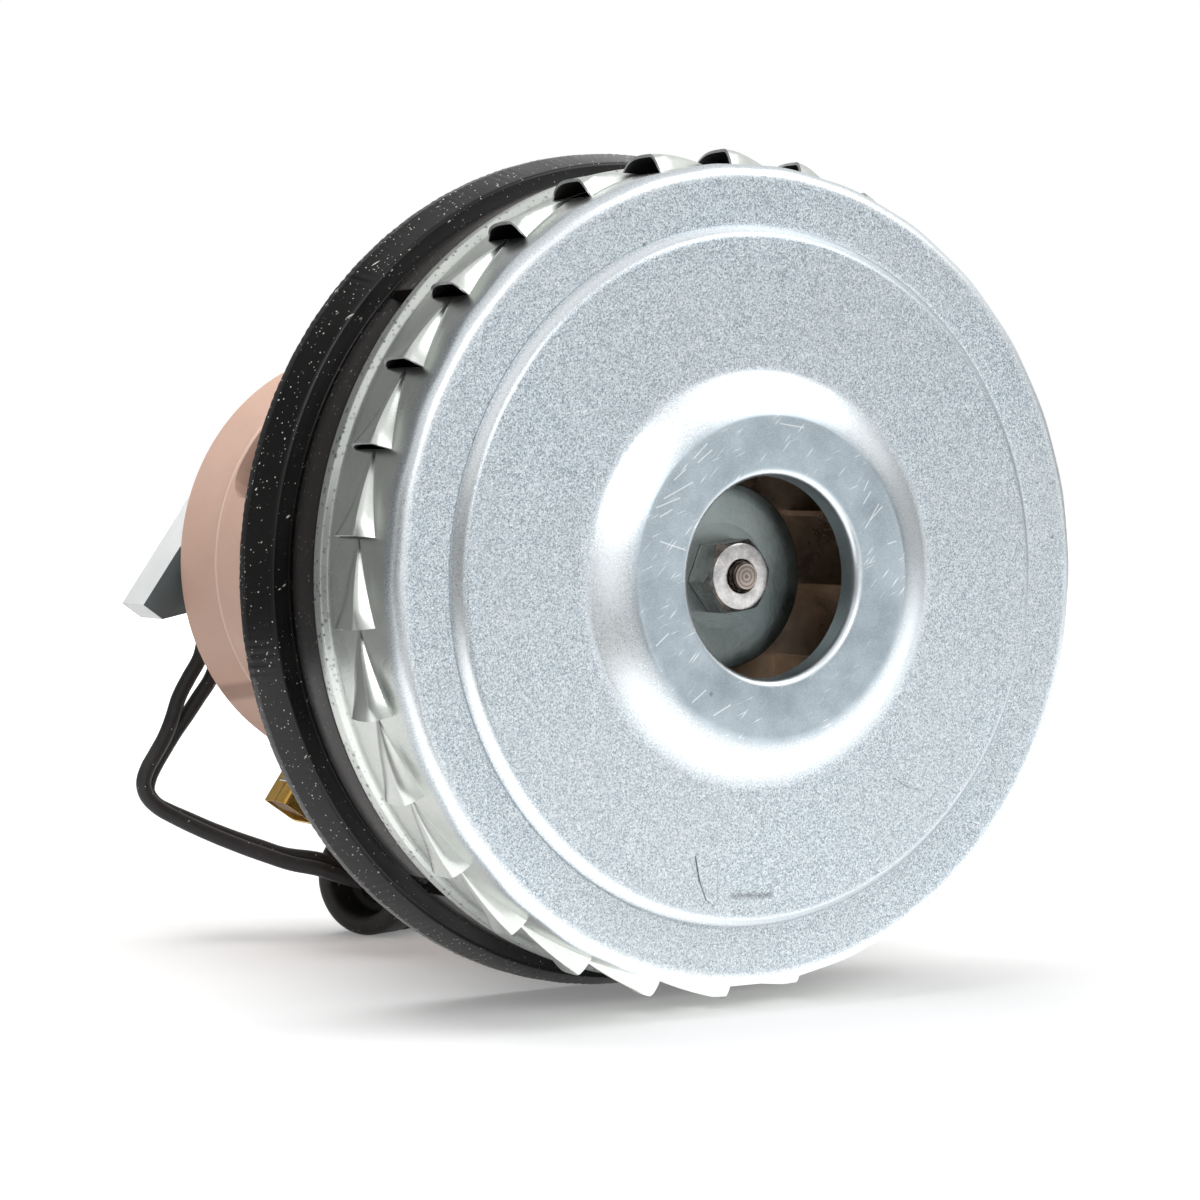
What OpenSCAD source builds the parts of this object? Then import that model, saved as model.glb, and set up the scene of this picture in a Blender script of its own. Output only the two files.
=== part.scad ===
// Vacuum motor unit: a flow-through fan stage in a louvred steel cover, driven by a
// brushed motor in a moulded housing. The shaft lies along Y, the inlet faces -Y and
// the part lies on its seal ring and its lead grommet, as it would on a bench.
// The origin is the centre of the inlet, halfway along its rolled lip.

/* [Fan cover] */
// Radius of the inlet bore
inlet_r = 16.1; // [14:0.1:18]
// Straight length of the inlet bore
inlet_len = 3; // [2:0.1:4]
// Outside radius of the roll between the bore and the boss face
lip_roll = 1.4; // [1.2:0.1:1.8]
// Radius of the flat face of the boss round the inlet
boss_flat_r = 25; // [22:0.5:28]
// Radius of the foot of the boss
boss_r = 32.8; // [30:0.1:38]
// Height of the boss over the inner disc
boss_rise = 3.75; // [2:0.05:5]
// Radius at the top of the step between the inner disc and the outer ring
step_r = 54.4; // [48:0.1:57]
// Height of the step
step_rise = 1.65; // [1:0.05:2.5]
// Outside radius of the side wall
cover_r = 65.4; // [62:0.1:70]
// Rounding where the face turns into the side wall
corner_r = 3.6; // [2:0.1:6]
// Depth of the cover from its outer ring face to its rear edge
cover_depth = 24; // [24:0.5:30]
// Sheet thickness
cover_t = 1; // [0.8:0.1:1.2]
// How far the rear bead stands out
bead_rise = 1.1; // [0.5:0.1:1.5]
// Length of the rear bead
bead_len = 3; // [2:0.5:4]
// Number of louvres
louvre_n = 30; // [20:1:30]
// Angle of the first louvre mouth
louvre_angle = 90; // [0:1:359]
// Width of a louvre mouth at the wall
louvre_w = 10.2; // [8:0.1:11]
// Height of a louvre over the wall
louvre_h = 3.1; // [2:0.1:3.6]
// Length of a louvre
louvre_len = 12.3; // [10:0.1:13]
// Distance of the louvre centres behind the outer ring face
louvre_back = 12.5; // [11:0.1:14]

/* [Seal ring] */
// How far the band stands out over the cover's side wall
band_over = 0.6; // [0.4:0.1:1.5]
// Length of the band, in front of the flange
band_len = 9.9; // [8:0.1:12]
// How far the front edge of the flange stands out over the band
flange_step = 2.1; // [1.5:0.1:4]
// How far the flange flares out from its front to its back
flange_flare = 1.9; // [1:0.1:3]
// Length of the flange
flange_len = 7.7; // [6:0.1:10]
// Length of the straight land at the back of the flange
land_len = 2; // [1:0.1:3]
// Thickness of the rubber under the band
band_t = 3.4; // [2.5:0.1:4]
// Width of a notch in the band
notch_w = 4.6; // [3:0.1:8]

/* [Impeller] */
// Outside radius of the impeller plates
impeller_r = 56; // [50:0.5:58]
// Radius of the eye in the front plate
eye_r = 20; // [19:0.1:24]
// Radius of the leading edges of the blades
blade_in_r = 22; // [21:0.5:26]
// Number of blades
blade_n = 11; // [7:1:13]
// Thickness of the plates and blades
plate_t = 0.9; // [0.7:0.1:1.2]
// Height of the channel between the plates at the rim
channel_out = 13.6; // [11:0.1:14]
// How far the blades sweep back, in degrees
blade_sweep = 58; // [40:1:75]
// Radius of the dished clamp washer
clamp_r = 15.1; // [12:0.1:18]
// Width of the nut across its flats
nut_af = 11.1; // [10:0.1:14]
// Height of the nut
nut_h = 6; // [4:0.1:8]
// Radius of the threaded shaft end
thread_r = 3.1; // [2.9:0.1:3.5]
// How far the shaft end stands out of the nut
thread_out = 1.5; // [0.5:0.1:3]
// Length of the hub between the clamp washer and the back plate
hub_len = 7.3; // [6:0.1:9]

/* [Motor] */
// Radius of the shaft in its bearings
shaft_r = 4; // [3.8:0.1:4.2]
// Outside radius of a bearing
bearing_r = 11; // [10.5:0.1:11.5]
// Width of a bearing
bearing_w = 7; // [6:0.5:8]
// How far the stator core lies inside the housing's outer radius
stator_in = 1.9; // [1.5:0.1:2.5]
// Length of the stator and armature cores
stack_len = 30; // [24:1:34]
// Depth of the stator core along the radius
stator_depth = 13.5; // [12.6:0.1:14.4]
// Running gap between armature and stator
air_gap = 0.5; // [0.4:0.1:0.8]
// Distance from the end bracket's disc to the stator
stator_back = 26.5; // [25:0.5:32]
// Number of armature slots
slot_n = 12; // [8:1:14]
// Radius of the commutator
commutator_r = 12.5; // [11:0.1:13]
// Number of commutator bars
bar_n = 24; // [16:2:32]
// Outside radius of the moulded housing
housing_r = 37.5; // [37.5:0.1:40]
// Wall of the moulded housing
housing_t = 3.1; // [2.5:0.1:3.3]
// Length of the moulded housing behind the stator
housing_len = 36.5; // [36:0.5:42]
// How far the rear rim of the fan shroud stands out over the housing
rim_flare = 2.1; // [1:0.1:4]
// Length of the fan shroud
shroud_len = 11; // [10:0.5:14]
// Radius of the mounting boss at the rear
rear_boss_r = 12; // [10:0.5:12.5]
// Height of the mounting boss at the rear
rear_boss_len = 6; // [4:0.5:8]

/* [Brush gear] */
// Direction of the brushes round the shaft, in degrees
brush_angle = 233; // [225:1:240]
// Width of the brush holder along the turn
holder_w = 6.8; // [6:0.1:8]
// Width of the brush holder along the shaft
holder_l = 11.6; // [10:0.1:12]
// Wall of the brush holder
holder_t = 0.4; // [0.3:0.05:0.5]
// Radius of the outer end of the brush holders
holder_out = 51.4; // [50:0.2:55]
// Length of a new carbon brush
brush_len = 25; // [20:0.5:27]
// How far a brush can be pushed back against its spring
brush_travel = 6; // [4:0.5:8]

/* [Leads] */
// Diameter of a lead
lead_d = 2.8; // [2.4:0.1:2.8]
// Radius of the grommet
grommet_r = 10.6; // [9:0.1:10.6]
// Length of the grommet
grommet_len = 20; // [18:0.5:20]

/* [Hidden] */
$fn = 72;

// Small clearances
face_gap = 0.1;
fit_gap = 0.05;
run_gap = 0.3;
eps = 0.01;

// Stations along the shaft, front to rear, measured from the middle of the inlet bore
boss_z = -inlet_len / 2 - lip_roll;
disc_z = boss_z + boss_rise;
ring_z = disc_z + step_rise;
cover_end = ring_z + cover_depth;
front_wall_z = max(disc_z, ring_z) + cover_t;

// The seal and the end bracket start behind the cover's rear edge
seal_z = cover_end + 1.1;
flange_z = seal_z + band_len;
seal_end = flange_z + flange_len;
band_r = cover_r + band_over;
flange_front_r = band_r + flange_step;
flange_r = flange_front_r + flange_flare;
seal_in_r = band_r - band_t;
spigot_r = cover_r - cover_t - face_gap;
disc_t = 3;
bracket_z = cover_end - 2;
bracket_back = bracket_z + disc_t;

// Impeller stack, from the back plate forward
rear_clamp_t = 1.5;
rear_clamp_r = 13;
clamp_t = 1.2;
hub_r = 8;
back_plate_z = bracket_z - 1.2 - rear_clamp_t - plate_t;
hub_z = back_plate_z - hub_len;
clamp_z = hub_z - clamp_t;
nut_z = clamp_z - nut_h;
shaft_z = nut_z - thread_out;
eye_z = front_wall_z + 0.5;
flare_z = eye_z + 0.4;
rim_plate_z = back_plate_z - channel_out - plate_t;
blade_out_r = impeller_r - 1.2;
eye_flare = 12;

// Bearings and their seats
bearing_in_r = shaft_r + 1.65;
bearing_out_in_r = bearing_r - 1.65;
ball_r = 1.9;
ball_pitch_r = (shaft_r + bearing_r) / 2;
ball_n = 7;
ball_gap = 0.05;
front_bearing_z = bracket_back - 0.3;
bearing_shoulder = 0.2;

// Stator, housing and shroud
stator_r = housing_r - stator_in;
stator_bore_r = stator_r - stator_depth;
rim_r = housing_r + rim_flare;
stator_z = bracket_back + stator_back;
stator_end = stator_z + stack_len;
housing_end = stator_end + housing_len;
shroud_end = housing_end + shroud_len;
shroud_t = 2.4;
spider_t = 4;
collar_len = 6;
collar_r = stator_r + 3.6;
lug_r = collar_r + 2.4;
lug_round = 4.2;
screw_r = 1.95;
screw_head_r = 3.8;
screw_head_h = 2.6;
screw_angles = [8, 98, 188, 278];
rear_bearing_z = housing_end - bearing_w - 1.2;
coil_out = 8;
liner_t = 1.2;

// Brush gear: the middle of the brushes along the shaft
brush_z = stator_end + 21.5;
brush_w = holder_w - 2 * holder_t - 2 * face_gap;
brush_l = holder_l - 2 * holder_t - 2 * face_gap;
brush_in = commutator_r + run_gap;
holder_in = commutator_r + 3.5;
commutator_z = brush_z - brush_l / 2 - 1.6;
commutator_len = brush_l + 2;
brush_out = brush_in + brush_len;
cap_t = 0.6;
pocket_out = holder_out - 8;
spring_r = 2.3;
spring_wire = 0.3;
spring_turns = 7;

// Cooling fan
fan_r = housing_r - 9;
fan_z = housing_end + 1.4;
fan_h = shroud_len - shroud_t - 2.9;
fan_blades = 13;
fan_shaft_r = shaft_r - 0.5;
post_at = housing_r - 5.3;
post_r = 2.5;
post_angles = [8, 98, 278];
block_angle = brush_angle + 2;
shroud_screw_r = 1.4;

// Terminal block, in a frame turned to the brush angle: out, across and along the shaft
block_z = shroud_end;
block_face_z = shroud_end + 1;
block_end = shroud_end + 10.5;
block_tip = 33;
block_side = 33.4;
block_ridge = 28.7;
block_low = 24;
block_step = 20;
block_inner = 14;
lead_side = [19.5, 15];

// Leads: the points they follow, from the terminal block to the connector
lead_r = lead_d / 2;
lead_y = shroud_end + 7;
floor_z = -flange_r;
lead_floor = floor_z + 1.5;
grommet_at = [-9, 118.5, floor_z + grommet_r];
grommet_turn = 25;
grommet_hole_r = lead_d + 0.25;
grommet_recess_r = 6.5;
grommet_recess = 7;
connector_at = [31, 76];
connector_size = [22, 12, 8.6];
route_1 = [
    [-26.9, lead_y, -4.3], [-28.4, lead_y, -6.9], [-29.8, lead_y, -10.3], [-31, lead_y, -14.1],
    [-32.1, 138.4, -18.2], [-34.4, 138.4, -21.9], [-36.4, lead_y, -25.5], [-37.8, 138.7, -29.7],
    [-39.2, 138.9, -33], [-40.9, 139, -35.8], [-42.6, 139.1, -38.6], [-43.4, 139.1, -41.2],
    [-42.8, 138.9, -43.7], [-40.8, 138.4, -45.9], [-38, 137.4, -47.7], [-34.4, 135.8, -49.7],
    [-30.7, 133.8, -51.6], [-26.9, 131.2, -53.4], [-23.5, 128.2, -54.9], [-20, 124.9, -56.3],
    [-16.1, 121.4, -57.2], [-10.4, 118.9, -59.3], [-4.9, 119.2, -60.4], [-0.4, 121.3, -60.4],
    [5, 123.8, -60.4], [10.5, 126.4, -60.4], [15.8, 127.9, -61], [21.2, 128.9, -62.8],
    [26.4, 129, -65], [31.5, 127.9, -67.2], [36.1, 125.4, -68.4], [40, 121.7, lead_floor],
    [42.8, 117, lead_floor], [44.6, 111.6, lead_floor], [45.5, 105.9, lead_floor],
    [45.7, 100, lead_floor], [45.1, 94.3, lead_floor], [43.4, 88.9, lead_floor],
    [40.1, 84, -68.2], [36, 80.3, -66.9], [31, 78.1, -65.7]];
route_2 = [
    [-23.4, lead_y, -7.2], [-24.9, lead_y, -9.9], [-26.4, 138.6, -13.6], [-27.9, 138.7, -17.8],
    [-29.6, 138.9, -22.2], [-32, 139.2, -25.7], [-34.3, 139.8, -29.2], [-36.3, 140.5, -32.2],
    [-38.2, 141.2, -35.5], [-39.9, 141.7, -38.5], [-41, 141.9, -41], [-41.3, 141.8, -43.3],
    [-39.8, 141.4, -45.5], [-37.2, 140.8, -47], [-34.1, 139.8, -48.5], [-30.7, 137.2, -50.3],
    [-26.7, 134.8, -52.1], [-23.1, 131.6, -53.6], [-19.6, 128.2, -55], [-15, 123.9, -55.7],
    [-10.6, 121.9, -57.3], [-5.8, 121.2, -58.4], [-1.3, 123.3, -58.4], [4.1, 125.8, -58.4],
    [9.6, 128.4, -58.4], [15.2, 130.5, -59.6], [20.8, 131.7, -62], [26.6, 132, -65],
    [32.5, 130.7, -67.2], [37.9, 127.8, -68.4], [42.4, 123.5, lead_floor],
    [45.6, 118.2, lead_floor], [47.6, 112.4, lead_floor], [48.5, 106.1, lead_floor],
    [48.7, 100, lead_floor], [48.1, 93.7, lead_floor], [46, 87.5, lead_floor], [42.3, 82, -68.2],
    [37.6, 77.7, -66.9], [31, 74.9, -65.7]];

// Lays a shape that was drawn round the Z axis down along Y
module lay() {
    rotate([-90, 0, 0]) children();
}

// Turns a shape drawn on the X axis to an angle, seen from the inlet, X right and Z up
module turn(angle) {
    rotate([0, 0, -angle]) children();
}

// Points of an arc in a profile
function arc(cx, cy, r, from, to, n = 6) =
    [for (i = [0 : n]) [cx + r * cos(from + (to - from) * i / n),
                        cy + r * sin(from + (to - from) * i / n)]];

// A round ring with a square section
module ring(r_in, r_out, z0, z1) {
    rotate_extrude() translate([r_in, z0]) square([r_out - r_in, z1 - z0]);
}

// A sector of such a ring, centred on an angle
module ring_sector(r_in, r_out, z0, z1, angle, half) {
    turn(angle) rotate([0, 0, -half])
        rotate_extrude(angle = 2 * half)
            translate([r_in, z0]) square([r_out - r_in, z1 - z0]);
}

// Outline of a box with rounded corners, from the low to the high corner
function rounded(x0, x1, y0, y1, r) = concat(
    arc(x1 - r, y0 + r, r, 270, 360, 4), arc(x1 - r, y1 - r, r, 0, 90, 4),
    arc(x0 + r, y1 - r, r, 90, 180, 4), arc(x0 + r, y0 + r, r, 180, 270, 4));

// A slot with rounded corners, cut along the radius
module radial_slot(r0, r1, half_w, z0, z1, round) {
    translate([r0, 0, 0]) rotate([90, 0, 90])
        linear_extrude(height = r1 - r0) polygon(rounded(-half_w, half_w, z0, z1, round));
}

// Directions along a path, and a side vector at each point that turns as little as it can
function unit(v) = v / norm(v);
function heading(p, i) = unit(p[min(i + 1, len(p) - 1)] - p[max(i - 1, 0)]);
function across(n, t) = unit(n - (n * t) * t);
function frames(p, i, n) = i == len(p) ? [] :
    let (s = across(n, heading(p, i))) concat([s], frames(p, i + 1, s));

// A tube swept along the points of a path
module tube(p, r, sides, first) {
    n = frames(p, 0, first);
    points = [for (i = [0 : len(p) - 1], k = [0 : sides - 1])
        p[i] + r * (cos(360 * k / sides) * n[i] + sin(360 * k / sides) * cross(heading(p, i), n[i]))];
    last = (len(p) - 1) * sides;
    walls = [for (i = [0 : len(p) - 2], k = [0 : sides - 1], half = [0, 1])
        let (a = i * sides + k, b = i * sides + (k + 1) % sides)
            half == 0 ? [a, b + sides, b] : [a, a + sides, b + sides]];
    start = [for (k = [1 : sides - 2]) [0, k, k + 1]];
    end = [for (k = [1 : sides - 2]) [last, last + k + 1, last + k]];
    polyhedron(points, concat(walls, start, end));
}

// Fan cover: one sheet, rolled in at the inlet and turned back at the rim
cover_outside = concat(
    [[inlet_r, inlet_len / 2]],
    arc(inlet_r + lip_roll, -inlet_len / 2, lip_roll, 180, 270),
    [[boss_flat_r, boss_z], [boss_r, disc_z], [step_r, disc_z], [step_r + step_rise * 1.2, ring_z]],
    arc(cover_r - corner_r, ring_z + corner_r, corner_r, 270, 360),
    [[cover_r, cover_end - bead_len], [cover_r + bead_rise, cover_end - bead_len + bead_rise],
     [cover_r + bead_rise, cover_end]]);
cover_inside = concat(
    [[cover_r - cover_t, cover_end], [cover_r - cover_t, ring_z + corner_r]],
    arc(cover_r - corner_r, ring_z + corner_r, corner_r - cover_t, 360, 270),
    [[step_r + step_rise * 1.2 - cover_t / 2, ring_z + cover_t], [step_r - cover_t / 2, disc_z + cover_t],
     [boss_r - cover_t / 2, disc_z + cover_t], [boss_flat_r - cover_t / 2, boss_z + cover_t]],
    arc(inlet_r + lip_roll, -inlet_len / 2, lip_roll - cover_t, 270, 180, 3),
    [[inlet_r + cover_t, inlet_len / 2]]);

// A louvre is half a cone that lies along the wall, open at its wide end
louvre_r = (louvre_w * louvre_w / 4 + louvre_h * louvre_h) / (2 * louvre_h);
louvre_axis = cover_r + louvre_h - louvre_r;
louvre_tip_at = cover_r - 0.3;
louvre_tip_r = sqrt(louvre_tip_at * louvre_tip_at - louvre_len * louvre_len) - louvre_axis;
louvre_z = ring_z + louvre_back;

module louvre_cones(inset, lead_in) {
    for (i = [0 : louvre_n - 1]) {
        turn(louvre_angle + i * 360 / louvre_n)
            translate([louvre_axis, -lead_in, louvre_z])
                rotate([-90, 0, 0])
                    cylinder(h = louvre_len + lead_in, r1 = louvre_r - inset, r2 = louvre_tip_r - inset);
    }
}

module fan_cover() {
    inside = concat(cover_inside, [[inlet_r - 1, inlet_len / 2], [inlet_r - 1, cover_end + 1],
        [cover_r - cover_t, cover_end + 1]]);
    color("lightsteelblue") lay() difference() {
        union() {
            rotate_extrude() polygon(concat(cover_outside, [[inlet_r, cover_end]]));
            louvre_cones(0, 0);
        }
        rotate_extrude() polygon(inside);
        louvre_cones(cover_t * 0.8, 0.2);
    }
}

// Impeller: two thin plates with curved blades between them
front_plate_outside = [[eye_r, eye_z - 1.4], [eye_r + 1.2, eye_z], [eye_r + eye_flare, flare_z],
    [impeller_r, rim_plate_z]];
front_plate_inside = [[impeller_r, rim_plate_z + plate_t], [eye_r + eye_flare, flare_z + plate_t],
    [eye_r + 0.8, eye_z + plate_t], [eye_r, eye_z + plate_t / 2]];

module impeller_front_plate() {
    color("silver") lay() rotate_extrude() polygon(concat(front_plate_outside, front_plate_inside));
}

function blade_point(t, offset) =
    let (r = blade_in_r + (blade_out_r - blade_in_r) * t, a = blade_sweep * pow(t, 0.85))
        [r * cos(a) - offset * sin(a + 40), r * sin(a) + offset * cos(a + 40)];

module impeller_blades() {
    steps = 10;
    outline = concat([for (i = [0 : steps]) blade_point(i / steps, 0)],
                     [for (i = [steps : -1 : 0]) blade_point(i / steps, plate_t)]);
    color("silver") lay() intersection() {
        for (i = [0 : blade_n - 1]) {
            turn(-5 + i * 360 / blade_n)
                translate([0, 0, eye_z]) linear_extrude(height = back_plate_z - eye_z) polygon(outline);
        }
        rotate_extrude() polygon([[eye_r + 0.8, eye_z + plate_t], [eye_r + eye_flare, flare_z + plate_t],
            [impeller_r, rim_plate_z + plate_t], [impeller_r, back_plate_z], [eye_r + 0.8, back_plate_z]]);
    }
}

module impeller_back_plate() {
    color("silver") lay() ring(shaft_r + fit_gap, impeller_r, back_plate_z, back_plate_z + plate_t);
}

module impeller_hub() {
    color("gray") lay() ring(shaft_r + fit_gap, hub_r, hub_z, back_plate_z);
}

module clamp_washer() {
    dish = 0.6;
    color("silver") lay() rotate_extrude() polygon([[thread_r + fit_gap, clamp_z], [nut_af / 2, clamp_z],
        [clamp_r, clamp_z - dish], [clamp_r, clamp_z - dish + clamp_t],
        [hub_r, clamp_z + clamp_t], [thread_r + fit_gap, clamp_z + clamp_t]]);
}

module rear_clamp_washer() {
    color("gray") lay() ring(shaft_r + fit_gap, rear_clamp_r,
        back_plate_z + plate_t, back_plate_z + plate_t + rear_clamp_t);
}

module shaft_spacer() {
    color("gray") lay() ring(shaft_r + fit_gap, bearing_in_r,
        back_plate_z + plate_t + rear_clamp_t, front_bearing_z);
}

module shaft_nut() {
    corner = nut_af / 2 / cos(30);
    chamfer = corner - nut_af / 2;
    color("gainsboro") lay() difference() {
        intersection() {
            turn(8) translate([0, 0, nut_z]) cylinder(h = nut_h, r = corner, $fn = 6);
            rotate_extrude() polygon([[0, nut_z], [nut_af / 2, nut_z], [corner, nut_z + chamfer],
                [corner, nut_z + nut_h], [0, nut_z + nut_h]]);
        }
        translate([0, 0, nut_z - eps]) cylinder(h = nut_h + 2 * eps, r = thread_r + fit_gap);
    }
}

// Shaft, with a thinner end for the nut and another for the cooling fan
module shaft() {
    swell = shaft_r + 0.5;
    tip = 0.5;
    rear_seat = rear_bearing_z + bearing_w;
    color("gainsboro") lay() rotate_extrude() polygon([[0, shaft_z], [thread_r - tip, shaft_z],
        [thread_r, shaft_z + tip], [thread_r, hub_z], [shaft_r, hub_z],
        [shaft_r, front_bearing_z + bearing_w], [swell, front_bearing_z + bearing_w],
        [swell, rear_bearing_z], [shaft_r, rear_bearing_z], [shaft_r, rear_seat],
        [fan_shaft_r, rear_seat], [fan_shaft_r, fan_z + fan_h], [0, fan_z + fan_h]]);
}

// A ball bearing, as three pieces that share a groove
module bearing_groove(z) {
    rotate_extrude() translate([ball_pitch_r, z + bearing_w / 2]) circle(r = ball_r + ball_gap);
}

module bearing_outer(z) {
    color("silver") lay() difference() {
        ring(bearing_out_in_r, bearing_r, z, z + bearing_w);
        bearing_groove(z);
    }
}

module bearing_inner(z) {
    color("silver") lay() difference() {
        ring(shaft_r + fit_gap, bearing_in_r, z, z + bearing_w);
        bearing_groove(z);
    }
}

module bearing_balls(z) {
    cage_t = 0.7;
    middle = z + bearing_w / 2;
    color("silver") lay() union() {
        for (i = [0 : ball_n - 1]) {
            turn(i * 360 / ball_n) translate([ball_pitch_r, 0, middle]) sphere(r = ball_r);
        }
        ring(ball_pitch_r - cage_t / 2, ball_pitch_r + cage_t / 2, middle - 2.3, middle + 2.3);
    }
}

module front_bearing_outer() { bearing_outer(front_bearing_z); }
module front_bearing_inner() { bearing_inner(front_bearing_z); }
module front_bearing_balls() { bearing_balls(front_bearing_z); }
module rear_bearing_outer() { bearing_outer(rear_bearing_z); }
module rear_bearing_inner() { bearing_inner(rear_bearing_z); }
module rear_bearing_balls() { bearing_balls(rear_bearing_z); }

// End bracket: closes the fan chamber, carries the seal, the front bearing and the stator
basket_r = stator_r + 3.4;
vent_n = 12;
boss_len = 14;
hub_wall = 3.6;

module end_bracket() {
    hub_out = bearing_r + hub_wall;
    hub_end = front_bearing_z + bearing_w + 1;
    rib_h = 6;
    rib_t = 2;
    color("dimgray") lay() difference() {
        union() {
            ring(bearing_in_r + 0.5, spigot_r - 1.7, bracket_z, bracket_back);
            ring(spigot_r - 2.4, spigot_r, bracket_z - 1, cover_end + face_gap);
            ring(seal_in_r - 3, spigot_r + cover_t - 0.3, cover_end + face_gap, seal_z);
            ring(seal_in_r - 3, seal_in_r, bracket_z, seal_end - 0.4);
            ring(bearing_r, hub_out, bracket_z, hub_end);
            ring(stator_r + fit_gap, basket_r, bracket_z + 1, stator_z + collar_len);
            ring(stator_r - 3, basket_r, stator_z - 3, stator_z);
            for (a = screw_angles) {
                turn(a) translate([lug_r, 0, stator_z + collar_len - boss_len])
                    cylinder(h = boss_len, r = lug_round);
            }
            for (i = [0 : 7]) {
                turn(15 + i * 45) translate([hub_out - 1, -rib_t / 2, bracket_z])
                    cube([seal_in_r - hub_out - 1, rib_t, disc_t + rib_h]);
            }
        }
        for (a = screw_angles) {
            turn(a) translate([lug_r, 0, stator_z + collar_len - boss_len - 1])
                cylinder(h = boss_len + 2, r = screw_r + fit_gap);
        }
        for (i = [0 : vent_n - 1]) {
            turn(30 + i * 360 / vent_n)
                radial_slot(stator_r - 4, basket_r + 2, 5.2, bracket_back + 7, stator_z - 4.5, 1.5);
        }
        translate([0, 0, bracket_z + disc_t - 0.3]) cylinder(h = hub_end, r = bearing_r + fit_gap);
        translate([0, 0, stator_z]) cylinder(h = collar_len + 1, r = stator_r + fit_gap);
    }
}

// Seal ring: a rubber band with four notches, and a flange that flares to the rear
module seal_ring() {
    groove = 0.9;
    color("black") lay() difference() {
        rotate_extrude() polygon(concat(
            [[seal_in_r, seal_z], [band_r - 0.4, seal_z], [band_r, seal_z + 0.4],
             [band_r, flange_z - 3], [band_r - groove, flange_z - 1.6], [band_r - groove, flange_z]],
            arc(flange_front_r - 0.6, flange_z + 0.6, 0.6, 270, 350, 3),
            [[flange_r, seal_end - land_len], [flange_r, seal_end], [seal_in_r, seal_end]]));
        for (i = [0 : 3]) {
            turn(48.5 + i * 90) translate([seal_in_r + 0.8, -notch_w / 2, seal_z - 1])
                cube([band_t + 1, notch_w, band_len - 1.6]);
        }
    }
}

// Stator: a stack of sheets with two poles, and a field coil round each pole
pole_angle = brush_angle - 90;
pole_half = 37;
slot_out_r = stator_r - 6.1;
coil_half = 63;

module stator_core() {
    color("slategray") lay() difference() {
        intersection() {
            translate([0, 0, stator_z]) cylinder(h = stack_len, r = stator_r);
            turn(brush_angle) translate([-stator_r + 2.2, -stator_r, stator_z])
                cube([2 * stator_r - 4.4, 2 * stator_r, stack_len]);
        }
        translate([0, 0, stator_z - 1]) cylinder(h = stack_len + 2, r = stator_bore_r);
        for (s = [0, 180]) {
            ring_sector(stator_bore_r - 2, slot_out_r, stator_z - 1, stator_end + 1,
                brush_angle + s, 90 - pole_half);
        }
    }
}

module field_coil(angle) {
    r0 = stator_bore_r + 1.2;
    r1 = slot_out_r - 0.3;
    color("chocolate") lay() difference() {
        ring_sector(r0, r1, stator_z - coil_out, stator_end + coil_out, angle, coil_half - 1);
        ring_sector(r0 - 2, r1 + 2, stator_z - 0.8, stator_end + 0.8, angle, pole_half + 1);
    }
}

module field_coil_1() { field_coil(pole_angle); }
module field_coil_2() { field_coil(pole_angle + 180); }

// Armature: slotted core, winding ends and commutator
armature_r = stator_bore_r - air_gap;
slot_w = 2.6;
slot_floor = armature_r - 9.6;
winding_r = armature_r - 1.6;

module armature_core() {
    color("slategray") lay() difference() {
        ring(shaft_r + 0.5 + fit_gap, armature_r, stator_z, stator_end);
        for (i = [0 : slot_n - 1]) {
            turn(i * 360 / slot_n) {
                translate([slot_floor, -slot_w / 2, stator_z - 1])
                    cube([winding_r - slot_floor, slot_w, stack_len + 2]);
                translate([winding_r - 1, -0.6, stator_z - 1]) cube([4, 1.2, stack_len + 2]);
            }
        }
    }
}

module armature_winding() {
    end = 7.6;
    shaft_clear = shaft_r + 1.5;
    color("chocolate") lay() {
        for (s = [[stator_z - end, stator_z - 0.3], [stator_end + 0.3, commutator_z - 0.6]]) {
            z0 = s[0];
            z1 = s[1];
            rotate_extrude() polygon([[shaft_clear, z0 + 1], [shaft_clear + 2, z0], [winding_r - 3, z0],
                [winding_r, z0 + 2.5], [winding_r, z1 - 1], [winding_r - 1, z1], [shaft_clear, z1]]);
        }
        for (i = [0 : slot_n - 1]) {
            turn(i * 360 / slot_n) translate([slot_floor + 0.3, -slot_w / 2 + 0.3, stator_z - 0.3])
                cube([winding_r - slot_floor - 0.8, slot_w - 0.6, stack_len + 0.6]);
        }
    }
}

module commutator() {
    riser = 1.7;
    riser_len = 1.4;
    cut = 0.5;
    color("peru") lay() difference() {
        union() {
            ring(shaft_r + 0.5 + fit_gap, commutator_r, commutator_z, commutator_z + commutator_len);
            ring(commutator_r - 1, commutator_r + riser, commutator_z, commutator_z + riser_len);
        }
        for (i = [0 : bar_n - 1]) {
            turn(i * 360 / bar_n) translate([commutator_r - 1.5, -cut / 2, commutator_z - 1])
                cube([riser + 3, cut, commutator_len + 2]);
        }
    }
}

// Motor housing: moulded bell with two windows, two brush pockets and the rear bearing seat
window_half = 12;
window_z1 = housing_end - 1.2;
window_z0 = window_z1 - 17;

module brush_box(w, l, r0, r1) {
    translate([r0, -w / 2, brush_z - l / 2]) cube([r1 - r0, w, l]);
}

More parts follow.
